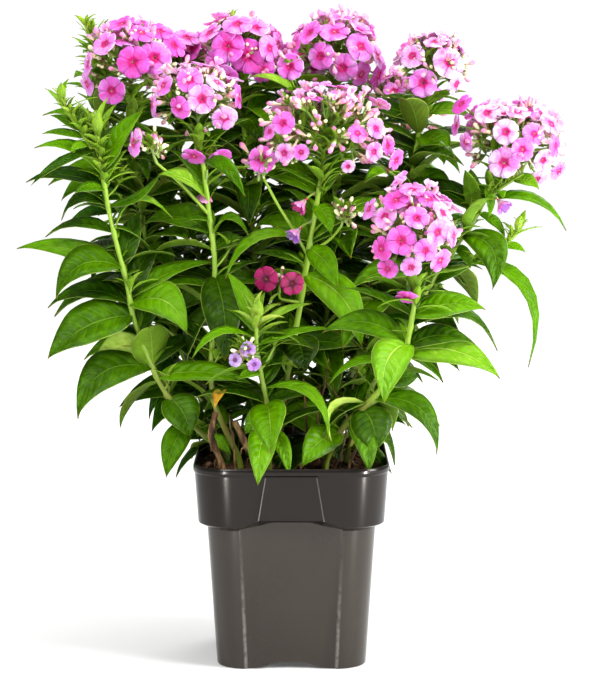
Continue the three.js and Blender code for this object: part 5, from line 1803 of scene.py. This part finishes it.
def raise_sides(pot, heights, rise, foot):
    """Arches the middle of each side upwards on the rings between two heights, outside the inner wall.
    A foot at each end stays down, and the middle third is level."""
    low, high = heights
    straight = 1 - POT_CORNER
    for i in range(1, (SIDE_CUTS + 1) // 2 + 1):
        along = i / (SIDE_CUTS + 1)
        slope = straight * (1 - 2 * along)

        def in_column(place):
            outer, inner = max(abs(place.x), abs(place.y)), min(abs(place.x), abs(place.y))
            outside = outer > INNER_WALL_HALF * MM or low < 0
            in_ring = low * MM < place.z < high * MM and outside
            return in_ring and abs(inner - slope * outer) < ON_LINE * MM

        pick(pot, in_column)
        share = min(1, max(0, (along - foot) / (0.36 - foot)))
        move(0, 0, rise * MM * share * share * (3 - 2 * share))


def recess_sides(pot):
    """Sets the body's sides back a little between the corner columns, with a narrow step at each."""
    straight = 1 - POT_CORNER
    last = straight * (SIDE_CUTS - 1) / (SIDE_CUTS + 1)
    for side in (0, 1):
        def on_side(place, reach):
            outer, inner = abs(place[side]), abs(place[1 - side])
            foot = outer > (BASE_HALF - 1.2) * MM and place.z < 0.1
            top = abs(outer - BODY_TOP_HALF * MM) < 0.0007 and place.z < 0.15
            return (foot or top) and inner < outer * reach + ON_LINE * MM

        stretch, shrink = [1, 1, 1], [1, 1, 1]
        stretch[1 - side] = 0.965 * straight / last
        shrink[side] = 1 - SIDE_RECESS / BASE_HALF
        pick(pot, lambda place: on_side(place, last) and not on_side(place, last - 0.03))
        resize(*stretch)
        pick(pot, lambda place: on_side(place, straight * 0.98))
        resize(*shrink)


def make_label_panel(finish, edge_highlight_finish):
    """The bare trapezoid panel that stands a little proud of the front of the collar."""
    middle = (LABEL_BOTTOM + LABEL_TOP) / 2 * MM
    height = (LABEL_TOP - LABEL_BOTTOM) * MM
    deselect_all()
    bpy.ops.mesh.primitive_cube_add(size=1, location=(0, -LABEL_FRONT * MM, middle))
    bpy.ops.transform.resize(value=(2 * LABEL_BOTTOM_HALF * MM, LABEL_THICKNESS * MM, height))
    panel = start_piece("panel", [finish, edge_highlight_finish])
    pick(panel, lambda place: place.z > middle)
    resize(LABEL_TOP_HALF / LABEL_BOTTOM_HALF, 1, 1, (0, 0, middle))
    move(0, -0.0027, 0)
    pick_faces(panel, lambda normal: normal.y < -0.9)
    bpy.ops.mesh.inset(thickness=LABEL_EDGE * MM)
    move(0, 0.0008, 0)
    leave_edit()
    apply_modifier(panel, "BEVEL", width=0.0003, segments=2, limit_method="ANGLE")
    # The slanted edges take the painted highlight.
    for face in panel.data.polygons:
        slanted = abs(face.normal.x) > 0.4 and face.area < 0.02 * 0.06
        face.material_index = 1 if slanted else 0
    shade(panel, 30)
    return panel


# ================================================================ soil
def make_soil(finish):
    """The packed soil keeps its shape, and crumbs of three sizes lie on it."""
    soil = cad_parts["soil"]
    soil.data.materials.clear()
    soil.data.materials.append(finish)
    draw = np.random.default_rng(31)
    deselect_all()
    bpy.ops.mesh.primitive_ico_sphere_add(subdivisions=1, radius=1, location=(0, 0, 0))
    crumb = bpy.context.object
    crumb.data.materials.append(finish)
    shade(crumb, 60)
    points = points_of(crumb)
    crumbs = []
    for size in [size for size, count in CRUMBS for _ in range(count)]:
        x, y = draw.uniform(-SOIL_HALF, SOIL_HALF, 2)
        if math.hypot(max(0, abs(x) - CRUMB_HALF), max(0, abs(y) - CRUMB_HALF)) > CRUMB_CORNER:
            continue
        radius = size * draw.uniform(0.6, 1.2)
        offset = draw.uniform(0, 50, 3)
        lumps = np.array([1 + 0.5 * noise.noise(Vector(point * 1.4 + offset)) for point in points])
        squash = np.array((1.0, draw.uniform(0.6, 1.0), draw.uniform(0.5, 0.8)))
        axes = framed(direction(draw.uniform(0, 6.28), 0.3))
        ground = SOIL_TOP + 1.5 + radius * draw.uniform(-0.1, 0.45)
        places = (points * lumps[:, None] * squash * radius) @ axes + (x, y, ground)
        crumbs.append(shaped_copy(crumb, places))
    bpy.data.objects.remove(crumb)
    hand_over_extra(join(crumbs, "soil_crumbs"))


# ================================================================ studio
def make_camera():
    camera = bpy.data.objects.new("camera", bpy.data.cameras.new("camera"))
    camera.data.lens = CAMERA_LENS
    camera.data.sensor_width = SENSOR
    pitch = Matrix.Rotation(math.pi / 2 - CAMERA_PITCH, 4, "X")
    camera.matrix_world = Matrix.Translation(CAMERA_PLACE) @ pitch
    bpy.context.collection.objects.link(camera)
    bpy.context.scene.camera = camera


def add_softbox(name, place, aim, size, power):
    light = bpy.data.objects.new(name, bpy.data.lights.new(name, "AREA"))
    light.data.shape = "RECTANGLE"
    light.data.size, light.data.size_y = size
    light.data.energy = power
    light.location = place
    light.rotation_mode = "QUATERNION"
    light.rotation_quaternion = (Vector(aim) - Vector(place)).to_track_quat("-Z", "Y")
    bpy.context.collection.objects.link(light)
    return light


def make_white_room():
    """An even white light from all round, and a brighter white behind the object."""
    world = bpy.data.worlds.new("white_room")
    world.use_nodes = True
    tree = world.node_tree
    room = tree.nodes["Background"]
    backdrop = tree.nodes.new("ShaderNodeBackground")
    for shader, strength in ((room, ROOM_LIGHT), (backdrop, BACKDROP_LIGHT)):
        shader.inputs[0].default_value = (1, 1, 1, 1)
        shader.inputs[1].default_value = strength
    seen = tree.nodes.new("ShaderNodeLightPath")
    choose = tree.nodes.new("ShaderNodeMixShader")
    tree.links.new(seen.outputs["Is Camera Ray"], choose.inputs[0])
    tree.links.new(room.outputs[0], choose.inputs[1])
    tree.links.new(backdrop.outputs[0], choose.inputs[2])
    tree.links.new(choose.outputs[0], tree.nodes["World Output"].inputs[0])
    bpy.context.scene.world = world


def make_studio(finish):
    """A pale floor, a white room, soft lights, and strips that the pot reflects."""
    deselect_all()
    bpy.ops.mesh.primitive_plane_add(size=FLOOR_SIZE, location=(0, 0, 0))
    floor = bpy.context.object
    floor.name = "floor"
    floor.data.materials.append(finish)
    make_white_room()
    for softbox in SOFTBOXES:
        add_softbox(*softbox)
    for name, place, power in STRIPS:
        strip = add_softbox(name, place, STRIP_AIM, STRIP_SIZE, power)
        strip.visible_diffuse = False
        strip.visible_camera = False
    bpy.context.scene.view_settings.view_transform = "Standard"


def with_points(piece):
    return {"piece": piece, "points": points_of(piece)}


make_camera()
leaf_faces = [leaf_top_finish(), leaf_under_finish()]
petals = {name: petal_finish(name) for name in PETALS}
corolla_faces = [petals["petal_pink"], petals["petal_back"], throat_finish(), throat_pit_finish()]
stalk_finishes = [stalk_finish(), corolla_tube_finish()]
closed_petals = bud_finish()
patterns = {
    "long": with_points(leaf_pattern(14, 4, leaf_faces)),
    "short": with_points(leaf_pattern(8, 4, leaf_faces)),
    "tiny": with_points(leaf_pattern(5, 2, leaf_faces)),
    "corolla": with_points(corolla_pattern(corolla_faces)),
    "bud": with_points(bud_pattern("bud", closed_petals, BUD_WIDTHS)),
    "opening": with_points(bud_pattern("opening_bud", closed_petals, OPENING_WIDTHS)),
    "calyx": with_points(calyx_pattern(calyx_finish())),
}
shoot_lines = make_shoots(patterns, stem_finish())
for number, head in enumerate(HEADS):
    middle = np.array(head["centre"], float)
    nearest = min((line[-1] for line in shoot_lines), key=lambda tip: np.linalg.norm(tip - middle))
    make_head(head, nearest, patterns, stalk_finishes, petals, number)
make_strays(shoot_lines, patterns, stalk_finishes, petals)
dry_bark = bark_finish()
for shoot, line in zip(SHOOTS, shoot_lines):
    if shoot["node"].startswith("dry"):
        make_dry_stalk(shoot, line, dry_bark)
make_twigs(patterns, dry_bark, old_leaf_finish())
# The collar's plastic is darker and less glossy than the body's: a painted shade.
make_pot(pot_finish("pot_plastic", (28, 24, 19), (43, 37, 31), gloss=0.5, highlight_strength=0.2),
         pot_finish("collar_plastic_painted_shade", (16, 13, 11), (19, 16, 14), gloss=0.28, highlight_strength=0.0),
         label_edge_highlight_finish())
make_soil(soil_finish())
for pattern in patterns.values():
    bpy.data.objects.remove(pattern["piece"])
make_studio(floor_finish())
